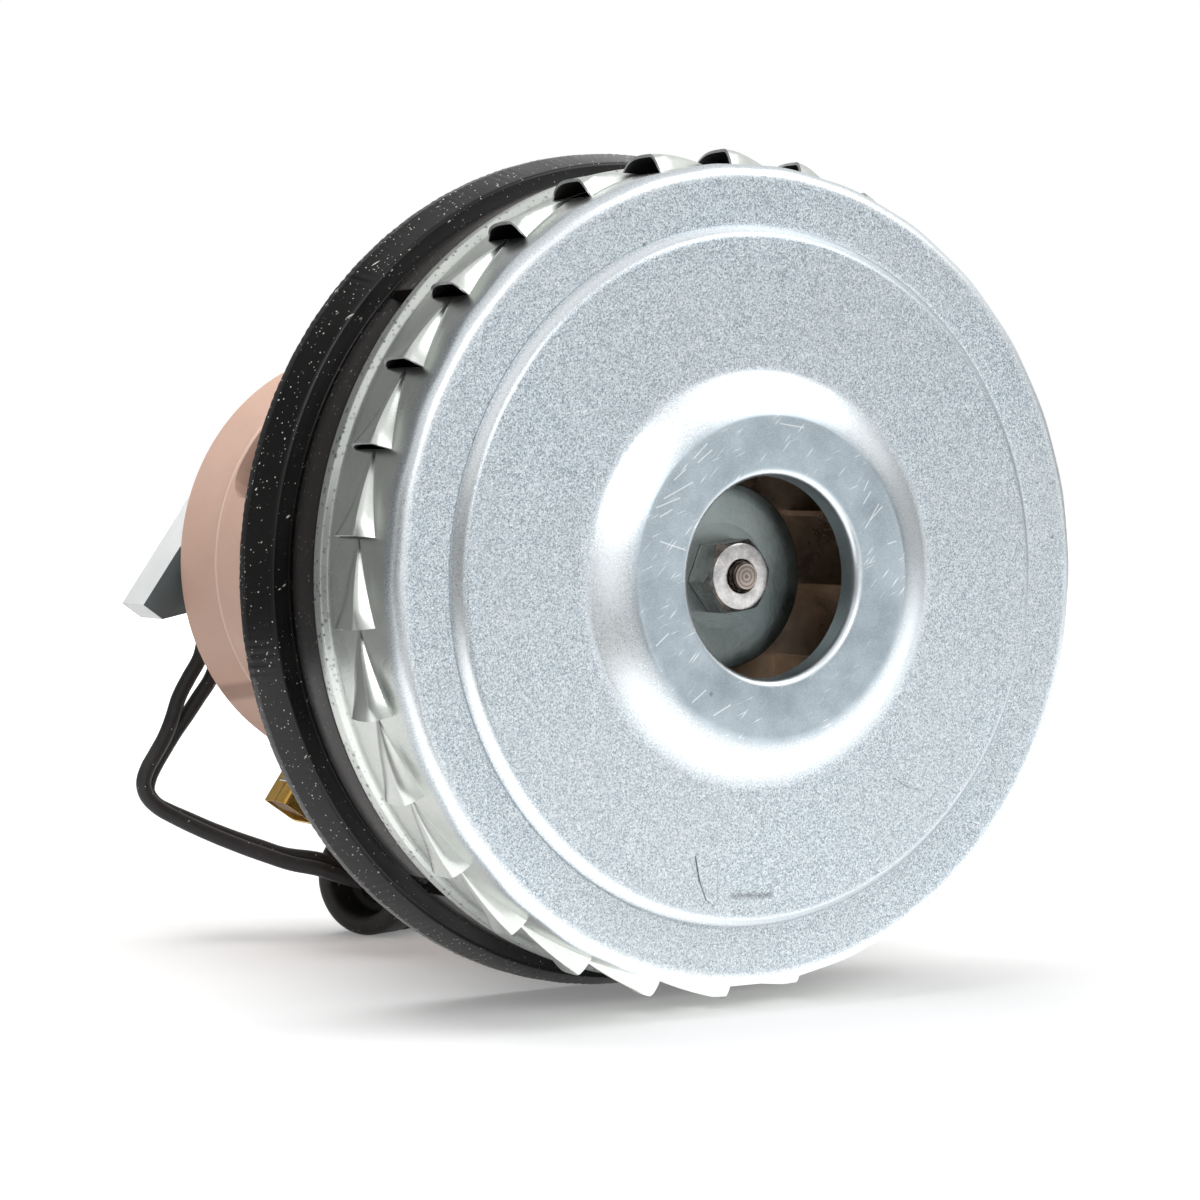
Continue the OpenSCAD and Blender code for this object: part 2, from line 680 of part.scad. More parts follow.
module motor_housing() {
    hub_out = bearing_r + 2.6;
    inner_r = housing_r - housing_t;
    pocket_w = holder_w + 5;
    pocket_l = holder_l + 4.6;
    color("rosybrown") lay() difference() {
        union() {
            ring(inner_r, housing_r, stator_end, housing_end);
            ring(stator_r + fit_gap, collar_r, stator_end - collar_len, stator_end + 2);
            ring(inner_r, collar_r, stator_end, stator_end + 2);
            for (a = screw_angles) {
                turn(a) translate([lug_r, 0, stator_end - collar_len])
                    cylinder(h = collar_len + 2, r = lug_round);
            }
            ring(bearing_r, hub_out, rear_bearing_z - 0.6, housing_end);
            ring(bearing_in_r + 1.6, bearing_r + 1, housing_end - 0.8, housing_end);
            for (i = [0 : 3]) {
                turn(brush_angle + 45 + 90 * i)
                    translate([hub_out - 0.8, -3.5, housing_end - spider_t])
                        cube([inner_r - hub_out + 1.6, 7, spider_t - 0.3]);
            }
            for (s = [0, 180]) {
                turn(brush_angle + s) brush_box(pocket_w, pocket_l, inner_r - 2, pocket_out);
            }
        }
        for (s = [0, 180]) {
            turn(brush_angle + s)
                brush_box(holder_w + 2 * face_gap, holder_l + 2 * face_gap, inner_r - 4, pocket_out + 1);
            turn(pole_angle + s)
                radial_slot(inner_r - 9, housing_r + 3, window_half, window_z0, window_z1, 6);
        }
        for (a = screw_angles) {
            turn(a) translate([lug_r, 0, stator_end - collar_len - 1])
                cylinder(h = collar_len + 4, r = screw_r + 0.15);
        }
        translate([0, 0, stator_end - collar_len - 1]) cylinder(h = collar_len + 1, r = stator_r + fit_gap);
        translate([0, 0, rear_bearing_z - 1]) cylinder(h = bearing_w + 1.4, r = bearing_r + fit_gap);
        for (a = post_angles) {
            turn(a) translate([post_at, 0, housing_end - spider_t - 1])
                cylinder(h = spider_t + 2, r = shroud_screw_r + fit_gap);
        }
    }
}

// Liner: a black sleeve inside the bell that keeps the cooling air off the windows' edges
module air_liner() {
    out_r = housing_r - housing_t - 3.4;
    color("black") lay() difference() {
        ring(out_r - liner_t, out_r, stator_end + 2, housing_end - spider_t);
        for (s = [0, 180]) {
            turn(brush_angle + s) brush_box(holder_w + 6, holder_l + 6, out_r - 6, out_r + 2);
        }
    }
}

module housing_screws() {
    reach = stator_z + collar_len - boss_len + 2;
    head_z = stator_end + 2;
    color("silver") lay() for (a = screw_angles) {
        turn(a) translate([lug_r, 0, 0]) difference() {
            union() {
                translate([0, 0, reach]) cylinder(h = head_z - reach, r = screw_r);
                rotate_extrude() polygon([[0, head_z], [screw_head_r, head_z],
                    [screw_head_r, head_z + 1.6], [screw_head_r - 1.2, head_z + screw_head_h],
                    [0, head_z + screw_head_h]]);
            }
            for (turned = [0, 90]) {
                rotate([0, 0, turned]) translate([-2.2, -0.4, head_z + 1]) cube([4.4, 0.8, 2]);
            }
        }
    }
}

// Brush gear, drawn at the brush angle and again across the shaft
module brush_holder(angle) {
    color("goldenrod") lay() turn(angle) difference() {
        brush_box(holder_w, holder_l, holder_in, holder_out);
        brush_box(holder_w - 2 * holder_t, holder_l - 2 * holder_t, holder_in - 1, holder_out + 1);
    }
}

module brush_cap(angle) {
    color("darkgoldenrod") lay() turn(angle) union() {
        brush_box(holder_w, holder_l, holder_out + eps, holder_out + cap_t);
        brush_box(holder_w - 2 * holder_t - 0.2, holder_l - 2 * holder_t - 0.2, holder_out - 1, holder_out + cap_t);
    }
}

module carbon_brush(angle) {
    color("darkslategray") lay() difference() {
        turn(angle) brush_box(brush_w, brush_l, commutator_r - 1, brush_out);
        translate([0, 0, brush_z - holder_l]) cylinder(h = 2 * holder_l, r = brush_in);
    }
}

module brush_spring(angle) {
    start = brush_out + spring_wire + run_gap;
    end = holder_out - 1 - spring_wire - face_gap;
    steps = 12;
    path = [for (i = [0 : spring_turns * steps])
        let (a = 360 * i / steps, x = start + (end - start) * i / (spring_turns * steps))
            [x, spring_r * cos(a), brush_z + spring_r * sin(a)]];
    color("silver") lay() turn(angle) tube(path, spring_wire, 6, [1, 0, 0]);
}

module brush_holder_1() { brush_holder(brush_angle); }
module brush_holder_2() { brush_holder(brush_angle + 180); }
module brush_cap_1() { brush_cap(brush_angle); }
module brush_cap_2() { brush_cap(brush_angle + 180); }
module carbon_brush_1() { carbon_brush(brush_angle); }
module carbon_brush_2() { carbon_brush(brush_angle + 180); }
module brush_spring_1() { brush_spring(brush_angle); }
module brush_spring_2() { brush_spring(brush_angle + 180); }

module wave_washer() {
    z = rear_bearing_z + bearing_w;
    color("silver") lay() ring(bearing_in_r + 2.4, bearing_r - 0.2, z, z + 0.35);
}

// Cooling fan: a hub, a disc and straight blades
module cooling_fan() {
    hub = 7;
    disc = 1.2;
    color("dimgray") lay() difference() {
        union() {
            ring(fan_shaft_r + fit_gap, hub, fan_z, fan_z + fan_h);
            ring(hub - 1, fan_r, fan_z, fan_z + disc);
            for (i = [0 : fan_blades - 1]) {
                turn(i * 360 / fan_blades) translate([hub - 1, -0.6, fan_z])
                    cube([fan_r - hub - 0.5, 1.2, fan_h]);
            }
        }
        translate([0, 0, fan_z - 1]) cylinder(h = fan_h + 2, r = fan_shaft_r + fit_gap);
    }
}

// Fan shroud: the rear cap, flaring to its rim, with air slots and the mounting boss
module fan_shroud() {
    slots = 18;
    wall_z = shroud_end - shroud_t;
    inner_r = housing_r - shroud_t;
    color("rosybrown") lay() difference() {
        union() {
            rotate_extrude() polygon([[inner_r, housing_end], [housing_r - 0.4, housing_end],
                [housing_r + 0.1, housing_end + 0.6], [rim_r, shroud_end - 0.8], [rim_r - 0.8, shroud_end],
                [0, shroud_end], [0, wall_z], [inner_r, wall_z]]);
            translate([0, 0, wall_z]) cylinder(h = shroud_t + rear_boss_len, r = rear_boss_r);
            for (a = post_angles) {
                turn(a) translate([post_at, 0, housing_end]) cylinder(h = shroud_len - 1, r = post_r);
            }
        }
        for (i = [0 : slots - 1]) {
            turn(brush_angle + (i + 0.5) * 360 / slots)
                air_slot(rear_boss_r + 2.6, housing_r - 7.1, 1.4, wall_z - 1, shroud_end + 1);
        }
        for (a = post_angles) {
            turn(a) translate([post_at, 0, housing_end - 1])
                cylinder(h = shroud_len + 2, r = shroud_screw_r + fit_gap);
        }
        translate([0, 0, shroud_end + 1.5]) cylinder(h = rear_boss_len, r = rear_boss_r - 3);
    }
}

// A slot with round ends that runs out along the radius and is cut along the shaft
module air_slot(r0, r1, half, z0, z1) {
    translate([0, 0, z0]) linear_extrude(height = z1 - z0)
        polygon(rounded(r0, r1, -half, half, half - eps));
}

module shroud_screws() {
    head_h = 1.8;
    color("silver") lay() for (a = post_angles) {
        turn(a) translate([post_at, 0, 0]) difference() {
            union() {
                translate([0, 0, housing_end - 3]) cylinder(h = shroud_len + 3, r = shroud_screw_r);
                rotate_extrude() polygon([[0, shroud_end], [post_r, shroud_end],
                    [post_r, shroud_end + 1], [post_r - 0.9, shroud_end + head_h], [0, shroud_end + head_h]]);
            }
            for (turned = [0, 90]) {
                rotate([0, 0, turned]) translate([-1.6, -0.3, shroud_end + 0.8]) cube([3.2, 0.6, 2]);
            }
        }
    }
}

// Terminal block: sits on the shroud and reaches past the rim, with a sloped lower face
module terminal_block() {
    color("lightslategray") lay() turn(block_angle) difference() {
        union() {
            translate([block_step - eps, 0, 0]) rotate([90, 0, 90])
                linear_extrude(height = block_tip - block_step)
                    polygon([[block_side, block_face_z], [block_ridge, block_face_z],
                        [block_low, block_face_z + 3], [block_low, block_end], [block_side, block_end]]);
            translate([4, block_inner, block_z])
                cube([block_step - 4, block_side - block_inner, block_end - block_z]);
        }
        translate([0, 0, block_z - 1]) linear_extrude(height = block_end)
            polygon([[block_tip, block_ridge], [block_tip + 1, block_ridge], [block_tip + 1, block_low - 1],
                [block_tip - 4.4 - 0.94, block_low - 1]]);
    }
}

// Grommet: a thick rubber sleeve with a recess where the leads go in
module grommet() {
    edge = 3;
    r = grommet_r;
    n = grommet_len;
    color("black") translate(grommet_at) rotate([0, 90, grommet_turn])
        rotate_extrude() polygon(concat(
            [[grommet_hole_r, grommet_recess], [grommet_recess_r, grommet_recess],
             [grommet_recess_r, 1.2], [grommet_recess_r + 1.2, 0]],
            arc(r - edge, edge, edge, 270, 360),
            arc(r - edge, n - edge, edge, 0, 90),
            [[grommet_hole_r, n]]));
}

module lead_1() { color("black") tube(route_1, lead_r, 8, [0, 1, 0]); }
module lead_2() { color("black") tube(route_2, lead_r, 8, [0, 1, 0]); }

// Connector: a two-way plug housing, lying on the floor
module lead_connector() {
    size = connector_size;
    color("ivory") translate([connector_at[0] - size[0] - 0.01, connector_at[1] - size[1] / 2, floor_z])
        difference() {
            union() {
                cube(size);
                translate([3, 4, size[2] - eps]) cube([13, 4, 1.4]);
            }
            for (y = [1.4, 6.6]) {
                translate([-1, y, 2.2]) cube([9, 4, 4.2]);
            }
        }
}

fan_cover();
end_bracket();
seal_ring();
front_bearing_outer();
stator_core();
field_coil_1();
field_coil_2();
motor_housing();
air_liner();
brush_holder_1();
brush_holder_2();
brush_cap_1();
brush_cap_2();
brush_spring_1();
brush_spring_2();
rear_bearing_outer();
wave_washer();
fan_shroud();
housing_screws();
shroud_screws();
terminal_block();
lead_1();
lead_2();
grommet();
lead_connector();
shaft();
shaft_nut();
clamp_washer();
impeller_hub();
impeller_front_plate();
impeller_blades();
impeller_back_plate();
rear_clamp_washer();
shaft_spacer();
front_bearing_inner();
rear_bearing_inner();
armature_core();
armature_winding();
commutator();
cooling_fan();
front_bearing_balls();
rear_bearing_balls();
carbon_brush_1();
carbon_brush_2();
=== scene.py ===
# %% [markdown]
# # A vacuum motor, dressed for a studio picture
# The working model of this motor was made elsewhere and is loaded here as the frame.
# This lesson puts a skin on it: pressed zinc-coated steel with louvres, black rubber,
# pink moulded compound, brass, and two black leads. Every size is in metres, and the
# object's own axes are: Y along the shaft from the inlet to the rear, Z up, X to the right.

# %% Load the working model
import math

import bmesh
import bpy
from mathutils import Matrix, Vector


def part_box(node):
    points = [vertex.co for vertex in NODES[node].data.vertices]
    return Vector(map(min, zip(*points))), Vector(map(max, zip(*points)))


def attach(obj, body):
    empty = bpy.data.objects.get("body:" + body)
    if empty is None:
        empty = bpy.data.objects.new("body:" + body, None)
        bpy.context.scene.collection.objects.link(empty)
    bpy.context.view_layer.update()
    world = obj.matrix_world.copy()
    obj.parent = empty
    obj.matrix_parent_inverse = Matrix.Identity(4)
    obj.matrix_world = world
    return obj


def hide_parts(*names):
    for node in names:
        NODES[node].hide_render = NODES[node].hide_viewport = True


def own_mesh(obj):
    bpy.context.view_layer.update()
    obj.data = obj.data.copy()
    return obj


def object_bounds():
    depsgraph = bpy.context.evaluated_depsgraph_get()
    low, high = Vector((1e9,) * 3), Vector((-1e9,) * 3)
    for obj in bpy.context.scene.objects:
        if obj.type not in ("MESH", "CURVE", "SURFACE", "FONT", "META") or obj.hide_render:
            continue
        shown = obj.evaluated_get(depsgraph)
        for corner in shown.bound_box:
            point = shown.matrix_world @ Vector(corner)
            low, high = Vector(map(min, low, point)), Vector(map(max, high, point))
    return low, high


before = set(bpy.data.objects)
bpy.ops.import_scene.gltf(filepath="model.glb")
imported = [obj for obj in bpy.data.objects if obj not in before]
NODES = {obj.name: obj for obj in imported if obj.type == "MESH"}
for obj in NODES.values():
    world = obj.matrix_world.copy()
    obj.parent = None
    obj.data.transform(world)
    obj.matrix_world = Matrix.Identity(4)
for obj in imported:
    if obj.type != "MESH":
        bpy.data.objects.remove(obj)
CAD_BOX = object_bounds()
MM = 0.001
ROOT = "motor_body"
ROTOR = "rotor"
print("nodes in the frame:", len(NODES))

# %% [markdown]
# ## The camera
# The photograph was taken with a long lens, a little left of the inlet and almost level
# with the shaft. The three rows below are the camera's right, up and viewing directions,
# worked out from the circles of the cover and the rim. A long lens keeps circles close to
# true ellipses, which is why 105 mm is used and not a wider one.

# %% Camera
CAMERA_AT = Vector((-0.31725, -0.45493, 0.01770))
CAMERA_RIGHT = Vector((0.84619, -0.53288, 0.0))
CAMERA_UP = Vector((0.02046, 0.03248, 0.99926))
CAMERA_LOOK = Vector((0.53248, 0.84557, -0.03839))

camera_data = bpy.data.cameras.new("studio_camera")
camera_data.lens = 105.0
camera_data.sensor_width = 36.0
camera_data.clip_start = 0.02
camera = bpy.data.objects.new("studio_camera", camera_data)
bpy.context.scene.collection.objects.link(camera)
turn = Matrix((CAMERA_RIGHT, CAMERA_UP, -CAMERA_LOOK)).transposed().to_4x4()
camera.matrix_world = Matrix.Translation(CAMERA_AT) @ turn
bpy.context.scene.camera = camera
bpy.context.scene.view_settings.view_transform = "Standard"

# %% [markdown]
# ## The two leads
# Each black lead leaves the terminal block, hangs down behind the rim, passes through the
# rubber grommet that lies on the floor, and ends in a small plug housing. Their routes are
# the ones of the working model, point by point, in millimetres. The tubes themselves are made
# further down, once the helper that smooths a route and sweeps a circle along it is there.

# %% Leads
LEAD_RADIUS = 0.0014
LEAD_ROUTES = {
    "black_lead_1": ("lead_1", 0.193, [
        (-26.9, 138.5, -4.3), (-28.4, 138.5, -6.9), (-29.8, 138.5, -10.3), (-31, 138.5, -14.1),
        (-32.1, 138.4, -18.2), (-34.4, 138.4, -21.9), (-36.4, 138.5, -25.5),
        (-37.8, 138.7, -29.7), (-39.2, 138.9, -33), (-40.9, 139, -35.8), (-42.6, 139.1, -38.6),
        (-43.4, 139.1, -41.2), (-42.8, 138.9, -43.7), (-40.8, 138.4, -45.9), (-38, 137.4, -47.7),
        (-34.4, 135.8, -49.7), (-30.7, 133.8, -51.6), (-26.9, 131.2, -53.4),
        (-23.5, 128.2, -54.9), (-20, 124.9, -56.3), (-16.1, 121.4, -57.2), (-10.4, 118.9, -59.3),
        (-4.9, 119.2, -60.4), (-0.4, 121.3, -60.4), (5, 123.8, -60.4), (10.5, 126.4, -60.4),
        (15.8, 127.9, -61), (21.2, 128.9, -62.8), (26.4, 129, -65), (31.5, 127.9, -67.2),
        (36.1, 125.4, -68.4), (40, 121.7, -68.5), (42.8, 117, -68.5), (44.6, 111.6, -68.5),
        (45.5, 105.9, -68.5), (45.7, 100, -68.5), (45.1, 94.3, -68.5), (43.4, 88.9, -68.5),
        (40.1, 84, -68.2), (36, 80.3, -66.9), (31, 78.1, -65.7),
    ]),
    "black_lead_2": ("lead_2", 0.199, [
        (-23.4, 138.5, -7.2), (-24.9, 138.5, -9.9), (-26.4, 138.6, -13.6), (-27.9, 138.7, -17.8),
        (-29.6, 138.9, -22.2), (-32, 139.2, -25.7), (-34.3, 139.8, -29.2), (-36.3, 140.5, -32.2),
        (-38.2, 141.2, -35.5), (-39.9, 141.7, -38.5), (-41, 141.9, -41), (-41.3, 141.8, -43.3),
        (-39.8, 141.4, -45.5), (-37.2, 140.8, -47), (-34.1, 139.8, -48.5), (-30.7, 137.2, -50.3),
        (-26.7, 134.8, -52.1), (-23.1, 131.6, -53.6), (-19.6, 128.2, -55), (-15, 123.9, -55.7),
        (-10.6, 121.9, -57.3), (-5.8, 121.2, -58.4), (-1.3, 123.3, -58.4), (4.1, 125.8, -58.4),
        (9.6, 128.4, -58.4), (15.2, 130.5, -59.6), (20.8, 131.7, -62), (26.6, 132, -65),
        (32.5, 130.7, -67.2), (37.9, 127.8, -68.4), (42.4, 123.5, -68.5), (45.6, 118.2, -68.5),
        (47.6, 112.4, -68.5), (48.5, 106.1, -68.5), (48.7, 100, -68.5), (48.1, 93.7, -68.5),
        (46, 87.5, -68.5), (42.3, 82, -68.2), (37.6, 77.7, -66.9), (31, 74.9, -65.7),
    ]),
}

# %% [markdown]
# ## Small helpers
# A finished piece is a mesh whose object sits at the origin. These helpers make one from
# points and faces, sweep a profile round the shaft, and set creases by angle so that
# curved sheet shades smoothly while a folded edge stays crisp. The last one hides the part of
# the working model that a finished piece replaces, gives the piece a finish when one is named,
# and hangs it on the body it moves with.

# %% Mesh helpers
WELD_DISTANCE = 1e-7


def link(obj):
    bpy.context.scene.collection.objects.link(obj)
    return obj


def finish_shading(mesh, sharp):
    """Smooth faces; edges over the angle stay crisp."""
    mesh.polygons.foreach_set("use_smooth", [True] * len(mesh.polygons))
    mesh.set_sharp_from_angle(angle=math.radians(sharp))
    mesh.update()


def mesh_object(name, points, faces):
    """A new object from points in metres."""
    mesh = bpy.data.meshes.new(name)
    mesh.from_pydata(points, [], faces)
    mesh.validate()
    return link(bpy.data.objects.new(name, mesh))


def close_up(obj, sharp):
    """Joins double points, turns the faces out and sets the creases."""
    bm = bmesh.new()
    bm.from_mesh(obj.data)
    bmesh.ops.remove_doubles(bm, verts=bm.verts, dist=WELD_DISTANCE)
    bmesh.ops.recalc_face_normals(bm, faces=bm.faces)
    bm.to_mesh(obj.data)
    bm.free()
    finish_shading(obj.data, sharp)
    return obj


def grid_faces(columns, rows, round_columns=False, round_rows=False, flip=False):
    """Quads between points that were listed column by column; flip turns them over."""
    faces = []
    for c in range(columns if round_columns else columns - 1):
        here, ahead = c * rows, (c + 1) % columns * rows
        for k in range(rows if round_rows else rows - 1):
            n = (k + 1) % rows
            b, d = (here + n, ahead + k) if flip else (ahead + k, here + n)
            faces.append((here + k, b, ahead + n, d))
    return faces


def arc(cx, cy, r, start, end, count):
    """Points of an arc in a profile, in millimetres and degrees."""
    steps = [math.radians(start + (end - start) * i / count) for i in range(count + 1)]
    return [(cx + r * math.cos(a), cy + r * math.sin(a)) for a in steps]


def polar(r, y, degrees):
    """A point r out from the shaft at an angle seen from the inlet; millimetres to metres."""
    a = math.radians(degrees)
    return (r * math.cos(a) * MM, y * MM, r * math.sin(a) * MM)


def revolve(name, profile, columns, sharp):
    """Sweeps a closed profile of (radius, y) round the shaft."""
    points = [polar(r, y, 360.0 * c / columns) for c in range(columns) for r, y in profile]
    faces = grid_faces(columns, len(profile), True, True, flip=True)
    return close_up(mesh_object(name, points, faces), sharp)


def smooth_route(route, steps=6):
    """A Catmull-Rom line through the points of a route, in metres."""
    knots = [Vector(p) * MM for p in route]
    knots = [knots[0] * 2 - knots[1]] + knots + [knots[-1] * 2 - knots[-2]]
    line = []
    for i in range(1, len(knots) - 2):
        a, b, c, d = knots[i - 1:i + 3]
        for k in range(steps):
            t = k / steps
            line.append(0.5 * (2 * b + (c - a) * t + (2 * a - 5 * b + 4 * c - d) * t ** 2 +
                               (3 * b - a - 3 * c + d) * t ** 3))
    line.append(knots[-2])
    return line


def tube(name, line, radius, sides=16):
    """Sweeps a circle along a line without twisting it, and closes both ends."""
    points, side = [], None
    for i, here in enumerate(line):
        ahead = (line[min(i + 1, len(line) - 1)] - line[max(i - 1, 0)]).normalized()
        side = ahead.orthogonal() if side is None else side - ahead * side.dot(ahead)
        side.normalize()
        across = ahead.cross(side)
        for k in range(sides):
            a = 2.0 * math.pi * k / sides
            points.append(here + radius * (math.cos(a) * side + math.sin(a) * across))
    faces = grid_faces(len(line), sides, round_rows=True, flip=True)
    faces.append(tuple(range(sides))[::-1])
    faces.append(tuple(range(len(points) - sides, len(points))))
    return close_up(mesh_object(name, points, faces), 50.0)


def add_modifier(obj, kind, **settings):
    made = obj.modifiers.new(kind.lower(), kind)
    for key, value in settings.items():
        setattr(made, key, value)
    return made


def apply_modifiers(obj):
    """Bakes the modifiers into a plain mesh and removes them."""
    depsgraph = bpy.context.evaluated_depsgraph_get()
    mesh = bpy.data.meshes.new_from_object(obj.evaluated_get(depsgraph))
    obj.modifiers.clear()
    obj.data = mesh
    return obj


def set_material(obj, material):
    obj.data.materials.clear()
    obj.data.materials.append(material)
    return obj


def fit(piece, node, body, material=None):
    """Hides the node a piece stands for, gives it a finish if one is named, and hangs it on its
    body.
    """
    if material:
        set_material(piece, material)
    if node:
        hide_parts(node)
    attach(piece, body)


# %% [markdown]
# ## Node helpers
# Materials and Geometry Nodes are both trees, so one small function can add a node and fill
# its inputs with values or with other nodes' sockets. A socket knows the tree it belongs
# to, so the helpers that combine sockets don't have to be told, and a whole material stays
# short enough to read at a glance.

# %% Node helpers
def add_node(tree, kind, inputs=None, **settings):
    """Adds a node; each input, by name or number, takes a value or a socket."""
    made = tree.nodes.new(kind)
    for key, value in settings.items():
        setattr(made, key, value)
    for key, value in (inputs or {}).items():
        if isinstance(value, bpy.types.NodeSocket):
            tree.links.new(value, made.inputs[key])
        else:
            made.inputs[key].default_value = value
    return made


def join(kind, inputs, **settings):
    """Adds a node to the tree that its inputs come from."""
    tree = next(v.id_data for v in inputs.values() if isinstance(v, bpy.types.NodeSocket))
    return add_node(tree, kind, inputs, **settings)


def maths(operation, *values):
    """One Math node; each value is a number or a socket."""
    return join("ShaderNodeMath", dict(enumerate(values)), operation=operation).outputs[0]


def times(a, b):
    return maths("MULTIPLY", a, b)


def most(a, b):
    return maths("MAXIMUM", a, b)


def vector_maths(operation, a, b=None):
    """One Vector Math node; a length or a dot product is a number, the rest are vectors."""
    inputs = {0: a} if b is None else {0: a, "Scale" if operation == "SCALE" else 1: b}
    made = join("ShaderNodeVectorMath", inputs, operation=operation)
    return made.outputs["Value" if operation in ("LENGTH", "DOT_PRODUCT") else "Vector"]


def map_range(value, low, high, to_low=0.0, to_high=1.0, smooth=False):
    made = join("ShaderNodeMapRange", {"Value": value, "From Min": low, "From Max": high,
                                       "To Min": to_low, "To Max": to_high})
    if smooth:
        made.interpolation_type = "SMOOTHSTEP"
    return made.outputs["Result"]


def mix_colour(factor, a, b):
    return join("ShaderNodeMix", {0: factor, 6: a, 7: b}, data_type="RGBA").outputs[2]


def mix_number(factor, a, b):
    return join("ShaderNodeMix", {0: factor, 2: a, 3: b}, data_type="FLOAT").outputs[0]


def colour(r, g, b):
    """A colour given 0 to 255, as the linear value a shader wants."""
    def linear(v):
        v /= 255.0
        return v / 12.92 if v <= 0.04045 else ((v + 0.055) / 1.055) ** 2.4
    return (linear(r), linear(g), linear(b), 1.0)


def grey(value):
    return (value, value, value, 1.0)


def between(factor, dark, light):
    """A colour between two given ones."""
    return mix_colour(factor, colour(*dark), colour(*light))


def layer(base, mask, amount, tint):
    """Lays one given colour over the base, where a mask from 0 to 1 says so."""
    return mix_colour(times(mask, amount), base, colour(*tint))


# %% [markdown]
# ## Effects shared by several finishes
# Some effects turn up on more than one material: a fine grain that breaks up the colour and
# the shine, small bright specks of dust, long thin scratches, one single stroke, and how far
# a point lies from the shaft and the inlet. Each is a node group with named inputs, so that
# every material can use it with its own scale and strength.

# %% Shared effect groups
def new_group(name, inputs, outputs):
    """An empty shader group; inputs are {name: default}, where None makes a vector."""
    tree = bpy.data.node_groups.new(name, "ShaderNodeTree")
    for label, default in {"Coordinates": None, **inputs}.items():
        kind = "NodeSocketVector" if default is None else "NodeSocketFloat"
        socket = tree.interface.new_socket(name=label, in_out="INPUT", socket_type=kind)
        if default is not None:
            socket.default_value = default
    for label in outputs:
        tree.interface.new_socket(name=label, in_out="OUTPUT", socket_type="NodeSocketFloat")
    given, out = tree.nodes.new("NodeGroupInput"), tree.nodes.new("NodeGroupOutput")
    return tree, given.outputs, out.inputs


def make_grain_group():
    """Fine grain and slow clouds, both from 0 to 1."""
    tree, given, out = new_group("grain", {"Grain Scale": 2500.0, "Cloud Scale": 60.0},
                                 ["Grain", "Cloud"])
    for label, detail, rough in (("Grain", 2.0, 0.7), ("Cloud", 4.0, 0.6)):
        noise = join("ShaderNodeTexNoise",
                     {"Vector": given["Coordinates"], "Scale": given[label + " Scale"],
                      "Detail": detail, "Roughness": rough})
        tree.links.new(map_range(noise.outputs["Fac"], 0.3, 0.7), out[label])
    return tree


def cell_dots(vector, scale, amount, size):
    """A dot in some of a pattern's cells; size turns a random value into its radius."""
    cells = join("ShaderNodeTexVoronoi", {"Vector": vector, "Scale": scale}).outputs
    pick = join("ShaderNodeSeparateColor", {"Color": cells["Color"]}).outputs
    near = map_range(cells["Distance"], 0.0, size(pick[1]), 1.0, 0.0)
    return times(maths("LESS_THAN", pick[0], amount), near)


def make_speck_group():
    """Scattered small dots: dust, pits or sparkle, by how many of the cells are filled."""
    tree, given, out = new_group("specks", {"Scale": 900.0, "Amount": 0.1, "Size": 0.2}, ["Mask"])
    dots = cell_dots(given["Coordinates"], given["Scale"], given["Amount"],
                     lambda value: times(given["Size"], maths("ADD", value, 0.25)))
    tree.links.new(dots, out["Mask"])
    return tree


def make_scratch_group():
    """Short thin scratches: scattered dots, stretched along the turned Z axis."""
    tree, given, out = new_group(
        "scratches", {"Turn": None, "Scale": 1800.0, "Amount": 0.2, "Stretch": 16.0}, ["Mask"])
    stretch = join("ShaderNodeCombineXYZ", {"X": 1.0, "Y": 1.0, "Z": given["Stretch"]})
    turned = join("ShaderNodeMapping",
                  {"Vector": given["Coordinates"], "Rotation": given["Turn"],
                   "Scale": stretch.outputs[0]}, vector_type="TEXTURE")
    dots = cell_dots(turned.outputs[0], given["Scale"], given["Amount"],
                     lambda value: map_range(value, 0.0, 1.0, 0.12, 0.3))
    tree.links.new(dots, out["Mask"])
    return tree


FLAT_MM = (1000.0, 0.0, 1000.0)


def make_place_group():
    """How far a point is from the shaft, and how far back along it, in millimetres."""
    tree, given, out = new_group("place", {}, ["Radius", "Depth"])
    flat = vector_maths("MULTIPLY", given["Coordinates"], FLAT_MM)
    split = join("ShaderNodeSeparateXYZ", {0: given["Coordinates"]})
    tree.links.new(vector_maths("LENGTH", flat), out["Radius"])
    tree.links.new(times(split.outputs[1], 1000.0), out["Depth"])
    return tree


def make_stroke_group():
    """One straight mark from Start to End, both in millimetres, fading out over Width."""
    tree, given, out = new_group("stroke", {"Start": None, "End": None, "Width": 0.2}, ["Mask"])
    here = vector_maths("MULTIPLY", given["Coordinates"], FLAT_MM)
    whole = vector_maths("SUBTRACT", given["End"], given["Start"])
    part = vector_maths("SUBTRACT", here, given["Start"])
    share = maths("DIVIDE", vector_maths("DOT_PRODUCT", part, whole),
                  vector_maths("DOT_PRODUCT", whole, whole))
    nearest = vector_maths("SCALE", whole, map_range(share, 0.0, 1.0))
    away = vector_maths("LENGTH", vector_maths("SUBTRACT", part, nearest))
    tree.links.new(map_range(away, 0.0, given["Width"], 1.0, 0.0), out["Mask"])
    return tree


GRAIN, SPECKS, SCRATCHES = make_grain_group(), make_speck_group(), make_scratch_group()
PLACE, STROKE = make_place_group(), make_stroke_group()


